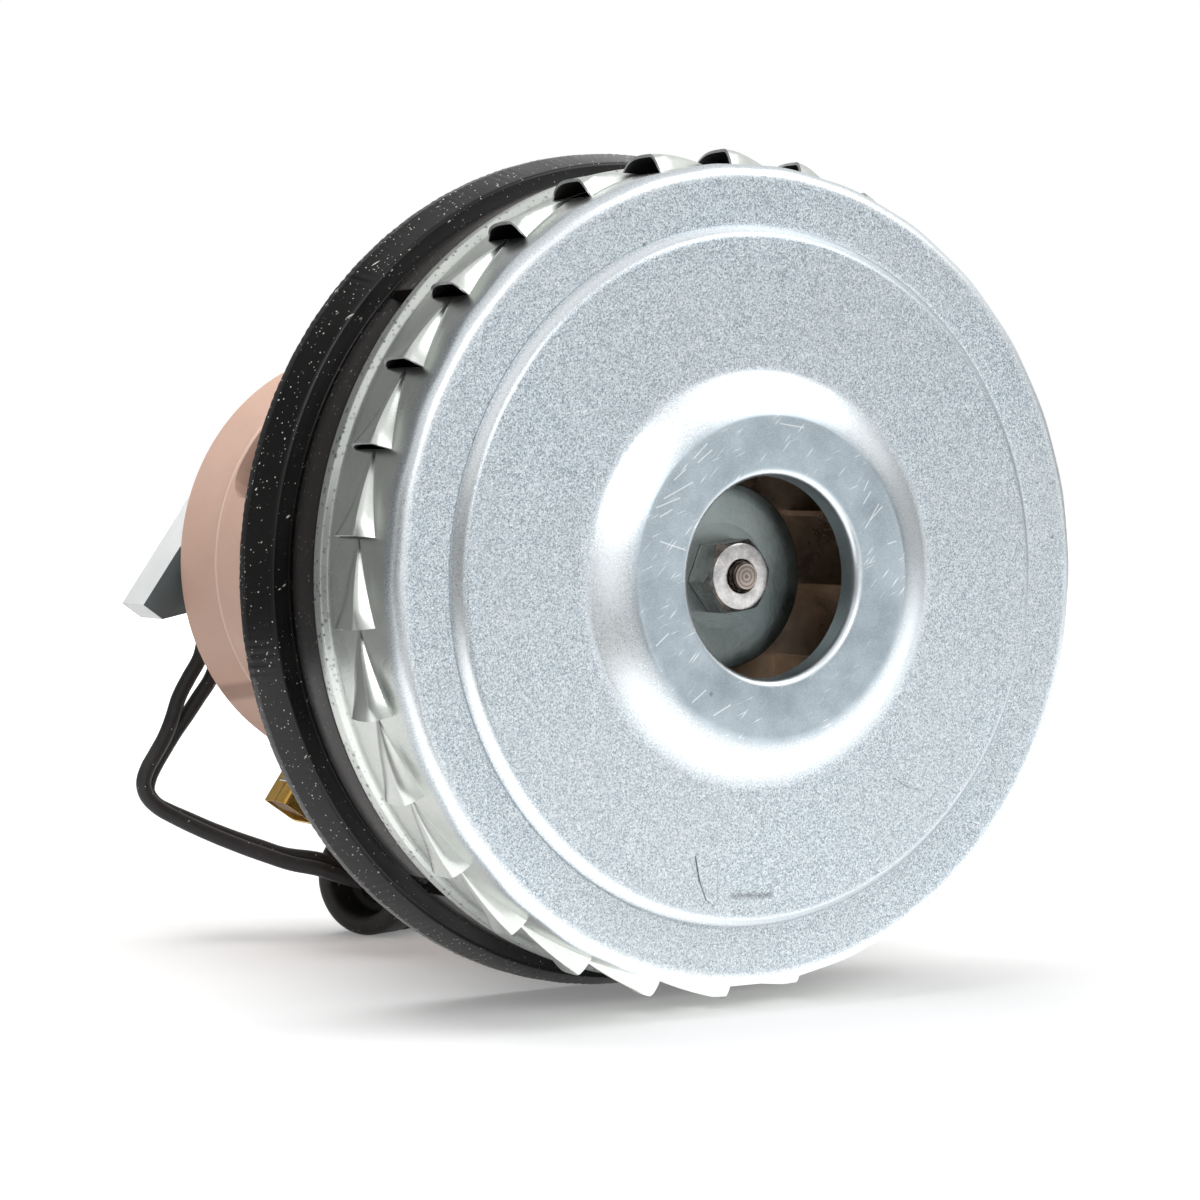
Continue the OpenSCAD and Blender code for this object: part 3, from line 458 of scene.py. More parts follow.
class Finish:
    """A material under construction: its tree, its shader and the shared effects."""

    def __init__(self, name, **sockets):
        self.material = bpy.data.materials.new(name)
        self.material.use_nodes = True
        self.tree = self.material.node_tree
        self.shader = self.tree.nodes["Principled BSDF"]
        for key, value in sockets.items():
            self.shader.inputs[key.replace("_", " ")].default_value = value
        self.coords = self.tree.nodes.new("ShaderNodeTexCoord").outputs["Object"]

    def group(self, tree, **values):
        inputs = {key.replace("_", " "): value for key, value in values.items()}
        return add_node(self.tree, "ShaderNodeGroup", {"Coordinates": self.coords, **inputs},
                        node_tree=tree).outputs

    def grain(self, grain_scale, cloud_scale):
        made = self.group(GRAIN, Grain_Scale=grain_scale, Cloud_Scale=cloud_scale)
        return made["Grain"], made["Cloud"]

    def specks(self, scale, amount, size):
        return self.group(SPECKS, Scale=scale, Amount=amount, Size=size)["Mask"]

    def scratches(self, turn, scale, amount, stretch=16.0):
        return self.group(SCRATCHES, Turn=turn, Scale=scale, Amount=amount,
                          Stretch=stretch)["Mask"]

    def place(self):
        made = self.group(PLACE)
        return made["Radius"], made["Depth"]

    def stroke(self, x0, z0, x1, z1, width):
        return self.group(STROKE, Start=(x0, 0.0, z0), End=(x1, 0.0, z1), Width=width)["Mask"]

    def wire(self, name, socket):
        self.tree.links.new(socket, self.shader.inputs[name])

    def bump(self, height, distance, strength):
        made = add_node(self.tree, "ShaderNodeBump",
                        {"Distance": distance, "Strength": strength, "Height": height})
        self.wire("Normal", made.outputs["Normal"])


print("shared effects:", [tree.name for tree in (GRAIN, SPECKS, SCRATCHES, PLACE, STROKE)])

# %% [markdown]
# ## The finishes
# Each finish starts from the plain value of the real surface and gets its life from small
# changes in colour, shine and height. The zinc coat is a metal with a fine bluish crystal
# grain. Its folds get a painted highlight, a lighter colour where the bends catch the light,
# and handling leaves scratches, pits and dust.

# %% Marks on the zinc coat
# Each mark runs from (x, z) to (x, z) in millimetres; face marks add a width and a strength.
FACE_MARKS = [
    (-12.5, -43.8, -11.8, -47.5, 0.26, 0.95), (-11.8, -47.5, -10.5, -50.7, 0.22, 0.85),
    (-10.5, -50.7, -9.0, -51.8, 0.16, 0.5), (-9.0, -51.8, -8.2, -50.7, 0.15, 0.4),
    (-8.2, -50.7, -8.5, -43.2, 0.13, 0.3), (-5.3, -50.4, 2.0, -50.7, 0.8, 0.45),
    (26.2, -33.2, 29.2, -34.8, 0.2, 0.5), (29.2, -34.8, 32.5, -35.6, 0.2, 0.35),
]
RUB_MARKS = [
    (-22.3, 11.2, -18.0, 12.7), (-21.6, 9.8, -19.4, 10.9), (-20.9, 12.6, -15.6, 15.1),
    (-19.0, 15.5, -16.9, 17.1), (-15.4, 18.8, -12.9, 21.1), (-14.6, 18.2, -12.0, 20.1),
    (-21.6, 6.0, -16.9, 4.6), (-22.3, -10.1, -20.1, -8.3), (17.7, 7.7, 20.3, 11.5),
    (17.3, 11.6, 18.7, 13.5), (18.7, 9.0, 21.0, 11.1), (17.4, 13.7, 18.2, 15.2),
    (22.2, 5.1, 23.8, 5.5), (1.1, 24.3, 5.5, 23.7), (-15.6, -19.1, -13.1, -17.3),
    (-11.6, -21.3, -8.5, -19.8),
]
RUB_WIDTH, RUB_STRENGTH = 0.15, 0.6
# Each fold with a painted highlight has its radius, its reach to both sides and its strength.
FOLD_HIGHLIGHTS = [(16.6, 0.8, 0.8), (29.6, 5.0, 0.8), (54.9, 1.2, 0.8), (64.5, 1.9, 0.7)]
# Where the boss ends (radius), the face turns into the wall and the rear bead is worn (depth).
BOSS_EDGE, WALL_BEND, WORN_BEAD = (27.2, 25.6), (4.6, 6.6), (22.8, 24.4)


# %% Zinc-coated steel
def zinc_finish():
    """Zinc-coated sheet: crystal grain on the face, a smoother and darker drawn side wall."""
    made = Finish("zinc_coat", Metallic=1.0, Roughness=0.4)
    radius, depth = made.place()
    wall = map_range(depth, *WALL_BEND, smooth=True)
    front = maths("SUBTRACT", 1.0, wall)
    boss = times(map_range(radius, *BOSS_EDGE, smooth=True), front)
    grain, _ = made.grain(4200.0, 90.0)
    coarse, patches = made.grain(1500.0, 26.0)
    drawn, streaks = made.grain(420.0, 60.0)
    _, rubs = made.grain(300.0, 130.0)
    pits = made.specks(330.0, 0.06, 0.14)
    dust = made.specks(620.0, 0.05, 0.15)
    crumbs = made.specks(1300.0, 0.55, 0.5)

    face = between(grain, (66, 80, 90), (225, 231, 235))
    face = layer(face, coarse, 0.35, (150, 170, 185))
    face = layer(face, patches, 0.3, (176, 180, 178))
    flat = between(rubs, (123, 135, 143), (160, 171, 178))
    face = mix_colour(times(boss, 0.8), face, flat)
    side = between(streaks, (184, 189, 186), (206, 209, 204))
    side = layer(side, coarse, 0.25, (222, 224, 220))
    side = layer(side, dust, 0.6, (240, 240, 234))
    base = mix_colour(wall, face, side)

    # Painted highlight: the folds are made lighter where the bends catch the light, and a little
    # smoother.
    fold_highlight = 0.0
    for middle, reach, amount in FOLD_HIGHLIGHTS:
        away = maths("ABSOLUTE", maths("SUBTRACT", radius, middle))
        fold_highlight = most(fold_highlight, map_range(away, 0.0, reach, amount, 0.0, smooth=True))
    fold_highlight = times(fold_highlight, front)
    base = layer(base, fold_highlight, 0.8, (238, 242, 244))
    scratch = most(made.scratches((0.0, 0.75, 0.0), 1500.0, 0.55, 9.0),
                   made.scratches((0.0, 1.2, 0.0), 1900.0, 0.45, 12.0))
    scratch = times(scratch, map_range(boss, 0.0, 1.0, 0.05, 1.0))
    scratch = times(scratch, map_range(rubs, 0.35, 0.75, 0.15, 0.9))
    for ends in RUB_MARKS:
        mark = times(made.stroke(*ends, RUB_WIDTH), boss)
        scratch = most(scratch, times(mark, RUB_STRENGTH))
    base = mix_colour(scratch, base, colour(236, 238, 238))
    base = layer(base, map_range(depth, *WORN_BEAD), crumbs, (40, 42, 42))
    base = layer(base, pits, 0.8, (52, 56, 58))
    for *ends, width, strength in FACE_MARKS:
        mark = times(made.stroke(*ends, width), strength)
        base = layer(base, mark, front, (34, 38, 40))
    made.wire("Base Color", base)

    rough = mix_number(wall, map_range(grain, 0.0, 1.0, 0.34, 0.48),
                       map_range(streaks, 0.0, 1.0, 0.25, 0.34))
    rough = maths("SUBTRACT", rough, times(scratch, 0.15))
    made.wire("Roughness", maths("SUBTRACT", rough, times(fold_highlight, 0.1)))
    face_height = maths("ADD", times(grain, 0.35), times(coarse, 0.3))
    side_height = maths("SUBTRACT", times(drawn, 0.6), pits)
    height = mix_number(wall, face_height, side_height)
    height = maths("SUBTRACT", height, times(scratch, 0.8))
    made.bump(height, 0.00004, 0.3)
    return made.material


def bright_edge_finish():
    """Sheared or rubbed steel, where the coat is gone."""
    made = Finish("bright_edge", Metallic=1.0, Roughness=0.28)
    grain, _ = made.grain(1600.0, 300.0)
    made.wire("Base Color", between(grain, (196, 200, 200), (244, 246, 246)))
    made.bump(grain, 0.00005, 0.4)
    return made.material


ZINC, BRIGHT_EDGE = zinc_finish(), bright_edge_finish()

# %% [markdown]
# Rubber is a dark plastic-like surface. What makes it read as rubber is a broad soft sheen,
# slow patches where it was touched, and pale dust that clings to it. On the seal ring the
# dust is thick on the flange, and the band in front of the groove is a little browner.

# %% Rubber and lead covering
BAND_EDGE = (36.2, 35.8)


def rubber_finish(name, dark, light, rough, dust_amount, dust_from=None):
    """Dark rubber; dust_from is the depth in millimetres behind which the dust is thick."""
    made = Finish(name, Metallic=0.0, Roughness=rough, Specular_IOR_Level=0.32)
    grain, cloud = made.grain(900.0, 55.0)
    base = between(cloud, dark, light)
    mask = made.specks(1000.0, dust_amount, 0.17)
    mask = most(mask, made.specks(1900.0, dust_amount, 0.26))
    mask = most(mask, made.scratches((0.5, 0.9, 0.2), 1500.0, 0.3 * dust_amount, 6.0))
    if dust_from is not None:
        _, depth = made.place()
        base = layer(base, map_range(depth, *BAND_EDGE), 0.6, (32, 27, 25))
        mask = times(mask, map_range(depth, dust_from - 0.4, dust_from, 0.2, 1.0))
    base = mix_colour(map_range(mask, 0.0, 0.5), base, colour(214, 212, 204))
    made.wire("Base Color", base)
    made.wire("Roughness", map_range(cloud, 0.0, 1.0, rough - 0.06, rough + 0.08))
    made.bump(maths("ADD", times(grain, 0.3), mask), 0.00005, 0.3)
    return made.material


RUBBER = rubber_finish("seal_rubber", (4, 4, 4), (13, 12, 11), 0.3, 0.3, 37.6)
LEAD_COVER = rubber_finish("lead_cover", (34, 33, 34), (60, 58, 58), 0.44, 0.04)
GROMMET_RUBBER = rubber_finish("grommet_rubber", (38, 38, 36), (70, 68, 64), 0.5, 0.04)

# %% [markdown]
# The housing is a filled moulding compound. It is almost matt, with faint flow clouds and a
# few pale fibres under the skin. A pale line of painted highlight runs round it where its
# surface turns at an edge, and one brownish stripe of painted shadow stands where the
# photograph shows it.

# %% Moulded plastics
# Painted highlight: a pale line round the housing at this depth, where its surface turns.
HIGHLIGHT_LINE_DEPTH = 120.5
# Painted shadow: a brownish dark stripe from (x, z) to (x, z) in millimetres, low on the left.
SHADOW_STRIPE = (-24.0, -19.0, -36.0, -28.4)


def pink_finish():
    made = Finish("pink_compound", Metallic=0.0, Roughness=0.5, Specular_IOR_Level=0.4)
    grain, cloud = made.grain(1400.0, 22.0)
    flow_grain, flow = made.grain(260.0, 70.0)
    base = between(cloud, (203, 167, 149), (214, 181, 164))
    base = layer(base, flow, 0.4, (196, 157, 138))
    base = layer(base, made.specks(500.0, 0.06, 0.16), 0.35, (238, 222, 208))
    _, depth = made.place()
    # Painted highlight: this mask makes a pale line round the housing where its surface turns at
    # an edge.
    seam = maths("ABSOLUTE", maths("SUBTRACT", depth, HIGHLIGHT_LINE_DEPTH))
    seam = map_range(seam, 0.15, 0.7, 0.75, 0.0, smooth=True)
    base = mix_colour(seam, base, colour(236, 212, 198))
    # Painted shadow: a brownish dark stripe low on the left side of the housing.
    shadow_stripe = map_range(made.stroke(*SHADOW_STRIPE, 2.6), 0.0, 0.6, 0.0, 0.75, smooth=True)
    made.wire("Base Color", mix_colour(shadow_stripe, base, colour(158, 124, 108)))
    made.wire("Roughness", map_range(flow, 0.0, 1.0, 0.42, 0.6))
    height = maths("ADD", times(grain, 0.25), times(flow_grain, 0.75))
    made.bump(height, 0.00005, 0.3)
    return made.material


def plastic_finish(name, dark, light, rough, grain_depth=0.00005):
    made = Finish(name, Metallic=0.0, Roughness=rough)
    grain, cloud = made.grain(1600.0, 60.0)
    base = between(cloud, dark, light)
    base = layer(base, made.specks(700.0, 0.03, 0.15), 0.5, (214, 212, 206))
    made.wire("Base Color", base)
    made.wire("Roughness", map_range(cloud, 0.0, 1.0, rough - 0.05, rough + 0.08))
    made.bump(grain, grain_depth, 0.35)
    return made.material


PINK = pink_finish()
BLACK_PLASTIC = plastic_finish("black_moulding", (22, 22, 23), (40, 40, 41), 0.45)
BLOCK_PLASTIC = plastic_finish("block_moulding", (84, 94, 96), (98, 108, 109), 0.5)
# Painted light: a near-white copy of the block's plastic, for the sides that the lamps wash out.
LIT_SIDE_PLASTIC = plastic_finish("block_painted_lit_side", (226, 228, 228), (238, 240, 240), 0.5)
IVORY_PLASTIC = plastic_finish("ivory_moulding", (205, 200, 182), (222, 217, 201), 0.4)
CARBON = plastic_finish("pressed_carbon", (44, 44, 46), (70, 70, 73), 0.55, 0.0001)

# %% [markdown]
# Metals inside and around the inlet: folded brass with a brownish film, turned steel,
# thin aluminium tinted tan as a painted reflection of warm colours, painted core sheets and
# varnished copper.

# %% Other metals
# The wave of the turned rings, in radians for each millimetre out from the shaft.
RING_WAVE = 9.0


def metal_finish(name, dark, light, rough, cloud_scale=80.0, scratch=0.35, metallic=1.0,
                 turned=False):
    """A bare metal; turned adds the fine rings that a lathe leaves round the shaft."""
    made = Finish(name, Metallic=metallic, Roughness=rough)
    grain, cloud = made.grain(1500.0, cloud_scale)
    lines = made.scratches((0.3, 0.9, 0.4), 2600.0, 0.1)
    base = layer(between(cloud, dark, light), lines, scratch, (244, 240, 230))
    if turned:
        radius, _ = made.place()
        ring = map_range(maths("SINE", times(radius, RING_WAVE)), 0.0, 1.0)
        base = layer(base, ring, 0.7, (74, 66, 60))
    made.wire("Base Color", base)
    made.wire("Roughness", map_range(cloud, 0.0, 1.0, rough - 0.08, rough + 0.1))
    made.bump(maths("SUBTRACT", grain, lines), 0.00004, 0.3)
    return made.material


BRASS = metal_finish("folded_brass", (196, 150, 62), (232, 190, 100), 0.24, 34.0, metallic=0.8)
DULL_BRASS = metal_finish("dull_brass", (104, 72, 32), (128, 92, 46), 0.4, 60.0, metallic=0.3)
TURNED_STEEL = metal_finish("turned_steel", (122, 112, 105), (172, 163, 156), 0.26, turned=True)
BEARING_STEEL = metal_finish("bearing_steel", (168, 168, 170), (214, 214, 215), 0.16)
# Painted reflection: the impeller's aluminium is tinted tan for the warm colours its blades
# reflect.
WARM_REFLECTION_FAN_SHEET = metal_finish("fan_sheet_warm_reflection", (172, 152, 132), (228, 208, 188), 0.3, 110.0, metallic=0.75)
CORE_SHEETS = metal_finish("core_sheets", (70, 76, 82), (112, 118, 122), 0.42)
COPPER = metal_finish("varnished_copper", (120, 54, 26), (184, 98, 54), 0.3)
# Painted shade: the inside of the cover is zinc made darker for the shadow that falls inside it.
SHADED_INSIDE_ZINC = metal_finish("inside_zinc_painted_shade", (70, 72, 72), (104, 106, 104), 0.5)
NUT_STEEL = metal_finish("nut_steel", (140, 138, 137), (206, 204, 203), 0.22, 420.0, 0.6, 0.85)
WASHER_STEEL = metal_finish("washer_zinc", (92, 100, 99), (134, 143, 141), 0.3, 60.0, 0.15)
print("finishes:", len(bpy.data.materials))

# %% [markdown]
# ## Repeating round the shaft
# The cover's louvres and the seal's notches come back at equal angles. The honest way to
# build them is to model one slice and let a Geometry Nodes tree turn copies of it
# round the shaft, realize them and weld the seams. The tree is built once and its sizes are
# named inputs.

# %% A tree that repeats a slice
SEAM_WELD = 0.00001


def make_repeat_tree():
    """Copies of a slice, each turned a step further round Y and welded to the next."""
    tree = bpy.data.node_groups.new("repeat_round_shaft", "GeometryNodeTree")
    for label, kind in (("Slice", "Geometry"), ("Copies", "Int"), ("Weld Distance", "Float"),
                        ("Finish", "Material")):
        tree.interface.new_socket(name=label, in_out="INPUT", socket_type="NodeSocket" + kind)
    tree.interface.new_socket(name="Ring", in_out="OUTPUT", socket_type="NodeSocketGeometry")
    given, out = tree.nodes.new("NodeGroupInput").outputs, tree.nodes.new("NodeGroupOutput")
    places = join("GeometryNodeMeshLine", {"Offset": (0.0, 0.0, 0.0), "Count": given["Copies"]})
    index = tree.nodes.new("GeometryNodeInputIndex")
    step = maths("DIVIDE", 2.0 * math.pi, given["Copies"])
    turned = join("ShaderNodeCombineXYZ", {"Y": times(index.outputs[0], step)})
    copies = join("GeometryNodeInstanceOnPoints",
                  {"Points": places.outputs[0], "Instance": given["Slice"],
                   "Rotation": turned.outputs[0]})
    real = join("GeometryNodeRealizeInstances", {0: copies.outputs[0]})
    joined = join("GeometryNodeMergeByDistance",
                  {"Geometry": real.outputs[0], "Distance": given["Weld Distance"]})
    finish = join("GeometryNodeSetMaterial",
                  {"Geometry": joined.outputs[0], "Material": given["Finish"]})
    tree.links.new(finish.outputs[0], out.inputs[0])
    return tree


REPEAT = make_repeat_tree()


def repeat_round_shaft(obj, copies, material):
    """Turns a slice into the whole ring and bakes it to a plain mesh."""
    modifier = add_modifier(obj, "NODES", node_group=REPEAT)
    values = {"Copies": copies, "Weld Distance": SEAM_WELD, "Finish": material}
    for item in REPEAT.interface.items_tree:
        if item.name in values and item.in_out == "INPUT":
            modifier[item.identifier] = values[item.name]
    return apply_modifiers(obj)


def rounded_profile(corners):
    """A profile through corners of (radius, y, rounding, steps); its two ends stay sharp."""
    points = [Vector(corner[:2]) for corner in corners]
    out = [tuple(points[0])]
    for i, (_, _, r, steps) in enumerate(corners[1:-1], 1):
        here = points[i]
        before, after = points[i - 1] - here, points[i + 1] - here
        a, b = before.normalized(), after.normalized()
        half = a.angle(b) / 2
        reach = min(r / math.tan(half), 0.48 * before.length, 0.48 * after.length)
        r = reach * math.tan(half)
        centre = here + (a + b).normalized() * (r / math.sin(half))
        start, end = here + a * reach - centre, here + b * reach - centre
        sweep = start.angle_signed(end)
        for k in range(steps + 1):
            t = -sweep * k / steps
            out.append((centre.x + start.x * math.cos(t) - start.y * math.sin(t),
                        centre.y + start.x * math.sin(t) + start.y * math.cos(t)))
    out.append(tuple(points[-1]))
    return out


# %% [markdown]
# ## The louvred fan cover
# The cover is one drawn sheet. Its profile is rolled in at the inlet, rises to a flat boss,
# steps down twice and turns into the side wall, and thirty louvres are pushed out of that
# wall. Each louvre is a hood: open and D-shaped at its mouth, crisp along its front edge,
# softer at its rear edge, and running out to a narrow tip. One slice of twelve degrees
# holds the profile and one louvre as a regular grid of points, so every row of points can
# follow the louvre's edges.

# %% Cover profile
WALL_R, WALL_FRONT, WALL_REAR = 65.4, 7.2, 22.6
LOUVRE_COUNT, LOUVRE_ROWS = 30, 22
LOUVRE_PITCH = 360.0 / LOUVRE_COUNT
LOUVRE_FRONT, LOUVRE_REAR = 9.1, 20.9
LOUVRE_RISE, LOUVRE_REACH = 3.1, 11.7
# From mouth to tip the front edge runs back and the rear edge forward, by these lengths.
FRONT_RUN, REAR_RUN = 4.9, 6.5
MOUTH_AT = 90.0
# The wall's front corner swells a little between two mouths, most at SWELL_Y.
SWELL_R, SWELL_Y, SWELL_REACH, SWELL_RISE = 63.0, 5.4, 3.4, 0.28

COVER_FRONT = rounded_profile([
    (16.1, 1.4), (16.1, -2.9, 1.5, 7), (25.6, -2.9, 1.6, 5), (32.8, 0.85, 4.2, 6),
    (54.2, 0.85, 1.7, 6), (55.75, 2.68, 0.12, 2), (56.15, 2.46, 0.25, 2), (WALL_R, 2.5, 3.7, 9),
    (WALL_R, WALL_FRONT)])
COVER_REAR = rounded_profile([
    (WALL_R, WALL_REAR), (WALL_R, 23.5, 0.8, 2), (66.55, 24.4, 0.9, 3), (66.55, 26.5, 0.7, 4),
    (65.9, 26.5)])
print("cover rows:", len(COVER_FRONT) + LOUVRE_ROWS + len(COVER_REAR))

# %% One slice of the cover
def louvre_edges(s):
    """Front and rear edge of the louvre, s from 0 at the mouth to 1 at the tip."""
    return LOUVRE_FRONT + FRONT_RUN * s ** 1.1, LOUVRE_REAR - REAR_RUN * s


def louvre_height(s, u):
    """Height of the hood over the wall; u runs from 0 at the front edge to 1 at the rear."""
    steep = 0.11 + 0.09 * max(0.0, 1.0 - 6.0 * s)
    if u < steep:
        across = math.sin(math.pi / 2 * u / steep) ** 0.8
    else:
        t = (u - steep) / (1.0 - steep)
        soft = 1.0 - t * t * (3.0 - 2.0 * t)
        blend = min(0.4, 1.2 * s)
        across = blend * soft + (1.0 - blend) * math.cos(math.pi / 2 * t ** 2.0)
    along = (1.0 - s) ** 1.08 * (1.0 + 0.25 * s)
    return LOUVRE_RISE * across * along


def cover_slice():
    """Columns from the louvre's mouth to its tip, and a last one (None) on the plain wall."""
    columns = [(j / 13.0) ** 1.15 for j in range(14)] + [None]
    rows_u = [0.5 * t + 0.25 * (1.0 - math.cos(math.pi * t))
              for t in (k / (LOUVRE_ROWS - 1) for k in range(LOUVRE_ROWS))]
    rows_u[1:4] = [0.035, 0.075, 0.11]
    points = []
    for s in columns:
        plain = s is None
        turned = LOUVRE_PITCH if plain else LOUVRE_REACH * s
        front, rear = louvre_edges(0.0 if plain else s)
        wave = SWELL_RISE * math.sin(math.pi * min(1.0, turned / LOUVRE_PITCH)) ** 2
        ridge = 0.0 if plain else 0.1 * min(1.0, 6.0 * (1.0 - s), 20.0 * s)
        column = []
        for r, y in COVER_FRONT:
            near = max(0.0, 1.0 - abs(y - SWELL_Y) / SWELL_REACH)
            column.append((r + wave * near if r > SWELL_R else r, y))
        column += [(WALL_R + 0.4 * wave, (WALL_FRONT + front) / 2), (WALL_R, front - 0.34),
                   (WALL_R + ridge, front - 0.14)]
        for u in rows_u:
            height = 0.0 if plain else louvre_height(s, u)
            column.append((WALL_R + height, front + (rear - front) * u))
        column += [(WALL_R, rear + 0.3), (WALL_R, (rear + WALL_REAR) / 2), *COVER_REAR]
        points.extend(polar(r, y, MOUTH_AT - turned) for r, y in column)
    faces = grid_faces(len(columns), len(column), flip=True)
    return mesh_object("fan_cover_skin", points, faces)


def flip_if_inward(mesh, at):
    """Turns all faces over if the face nearest a point looks towards the shaft."""
    face = min(mesh.polygons, key=lambda p: (p.center - Vector(at)).length)
    if face.normal.dot(Vector((face.center.x, 0.0, face.center.z))) < 0:
        mesh.flip_normals()


cover = repeat_round_shaft(cover_slice(), LOUVRE_COUNT, ZINC)
flip_if_inward(cover.data, polar(WALL_R, WALL_REAR, MOUTH_AT - LOUVRE_PITCH / 2))
print("cover faces before its thickness:", len(cover.data.polygons))

# %% [markdown]
# The sheet gets its thickness inward, a little thinned by the press. The inside is zinc
# painted darker, a painted shade for the shadow inside the cover, and the sheared edges round
# the mouths and the inlet are bright bare steel, so the thickness modifier is told which
# finish each of them takes.

# %% Thickness of the sheet
cover.data.materials.append(SHADED_INSIDE_ZINC)
cover.data.materials.append(BRIGHT_EDGE)
add_modifier(cover, "SOLIDIFY", thickness=0.5 * MM, offset=-1.0, material_offset=1,
             material_offset_rim=2)
apply_modifiers(cover)
finish_shading(cover.data, 32.0)
fit(cover, "fan_cover", ROOT)
print("cover triangles:", sum(len(p.vertices) - 2 for p in cover.data.polygons))

# %% [markdown]
# ## The rubber seal ring
# A moulded rubber ring sits behind the cover: a smooth band with four notches, a deep
# groove, and a flange that flares towards the rear and ends in a rough flash line. A
# quarter of it with one notch is drawn as a grid and repeated four times.

# %% Seal ring
SEAL_BAND = rounded_profile([
    (62.6, 27.6), (66.0, 27.6, 0.45, 4), (66.0, 34.4, 0.9, 3), (65.0, 35.9, 0.9, 3),
    (65.0, 37.5, 0.3, 2), (68.1, 37.5, 0.7, 5), (69.95, 43.2, 0.5, 3), (70.0, 45.2, 0.25, 3),
    (62.6, 45.2)])
BAND_REAR, GROOVE_REAR, GROOVE_R = 35.6, 37.4, 64.0
FLANGE_R, FLANGE_REAR, FLASH_HEIGHT = 69.8, 44.9, 0.035
NOTCH_COUNT, NOTCH_AT, NOTCH_HALF, NOTCH_FLOOR, NOTCH_EDGE = 4, 48.5, 1.85, 63.4, 0.44


def notch_depth(offset):
    """1 inside the notch and 0 outside it, with a narrow rounded shoulder."""
    t = min(1.0, max(0.0, (NOTCH_HALF + NOTCH_EDGE / 2 - abs(offset)) / NOTCH_EDGE))
    return t * t * (3.0 - 2.0 * t)


def seal_slice():
    """A quarter of the ring, with finer columns at the shoulders of its notch."""
    half = 180.0 / NOTCH_COUNT
    angles = [NOTCH_AT - half + half * i / 120 for i in range(241)]
    shoulder = [NOTCH_HALF + NOTCH_EDGE / 2 - NOTCH_EDGE * i / 8 for i in range(9)]
    angles += [NOTCH_AT + side * a for side in (-1, 1) for a in shoulder]
    angles = sorted(set(round(a, 4) for a in angles))
    points = []
    for angle in angles:
        offset = angle - NOTCH_AT
        inside = notch_depth(offset)
        ends = min(1.0, (half - abs(offset)) / 2.0)
        waves = math.sin(2.9 * offset) * math.sin(1.7 * offset + 1.0)
        flash = FLASH_HEIGHT * ends * (waves + 0.8 * math.sin(5.3 * offset + 0.6))
        for r, y in SEAL_BAND:
            if y <= BAND_REAR and r > NOTCH_FLOOR:
                r += (NOTCH_FLOOR - r) * inside
            elif y < GROOVE_REAR and r > GROOVE_R:
                r += (NOTCH_FLOOR + 0.9 - r) * inside * max(0.0, BAND_REAR + 1.0 - y)
            if r > FLANGE_R:
                r += flash
                y += 0.5 * flash if y > FLANGE_REAR else 0.0
            points.append(polar(r, y, angle))
    faces = grid_faces(len(angles), len(SEAL_BAND), round_rows=True)
    return mesh_object("seal_ring_skin", points, faces)


seal = close_up(repeat_round_shaft(seal_slice(), NOTCH_COUNT, RUBBER), 40.0)
fit(seal, "seal_ring", ROOT)
print("seal ring faces:", len(seal.data.polygons))

# %% [markdown]
# ## Nut, washer and shaft end in the inlet
# The nut is the sharpest thing in the picture: a hexagon whose front is turned to a cone,
# so its face is a circle with a bright rim. Its grid puts one row of points exactly where
# the cone meets each flat. The thread is a fine helix cut into the end of the shaft.

# %% Nut
NUT_FLATS, NUT_TURN, NUT_FRONT, NUT_REAR = 11.1, 8.0, 6.4, 12.4
THREAD_R, THREAD_PITCH, THREAD_DEPTH = 2.5, 1.0, 0.32


def make_nut(columns=180):
    face_r = NUT_FLATS / 2 - 0.25
    points = []
    for c in range(columns):
        angle = 360.0 * c / columns
        out = NUT_FLATS / 2 / math.cos(math.radians((angle - NUT_TURN) % 60.0 - 30.0))
        drop = 0.2 + (out - face_r) * 1.1
        profile = [(THREAD_R + 0.08, NUT_REAR), (THREAD_R + 0.08, NUT_FRONT + 0.5),
                   (THREAD_R + 0.2, NUT_FRONT + 0.15), (THREAD_R + 0.35, NUT_FRONT),
                   (face_r - 0.5, NUT_FRONT), (face_r, NUT_FRONT + 0.2),
                   (out - 0.06, NUT_FRONT + drop - 0.02), (out, NUT_FRONT + drop + 0.05),
                   (out, NUT_REAR - 0.15), (out - 0.15, NUT_REAR)]
        points.extend(polar(r, y, angle) for r, y in profile)
    faces = grid_faces(columns, len(profile), True, True)
    return close_up(mesh_object("shaft_nut_skin", points, faces), 22.0)


nut = make_nut()
fit(nut, "shaft_nut", ROTOR, NUT_STEEL)

# %% Shaft with its thread
SHAFT_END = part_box("shaft")[1][1] / MM
SHAFT_FRONT = [(0.0, 5.02), (0.15, 5.02), (0.3, 4.9), (1.95, 4.9), (2.05, 4.93), (2.18, 5.12),
               (2.2, 5.4)]
SHAFT_REAR = [(2.5, 13.1), (2.5, 13.6), (4.0, 13.6), (4.0, 34.2), (4.5, 34.2), (4.5, 112.3),
              (4.0, 112.3), (4.0, 119.3), (3.0, 119.3), (3.0, SHAFT_END - 0.4),
              (2.6, SHAFT_END), (0.0, SHAFT_END)]


def make_shaft(columns=72):
    """The stepped shaft; its front end carries a real helix under and before the nut."""
    points = []
    for c in range(columns):
        thread = []
        for y in (5.6 + 0.125 * i for i in range(58)):
            wave = abs(((y / THREAD_PITCH + c / columns) % 1.0) * 2.0 - 1.0)
            thread.append((THREAD_R - THREAD_DEPTH * wave, y))
        profile = SHAFT_FRONT + thread + SHAFT_REAR
        points.extend(polar(r, y, 360.0 * c / columns) for r, y in profile)
    faces = grid_faces(columns, len(profile), round_columns=True)
    return close_up(mesh_object("shaft_skin", points, faces), 30.0)


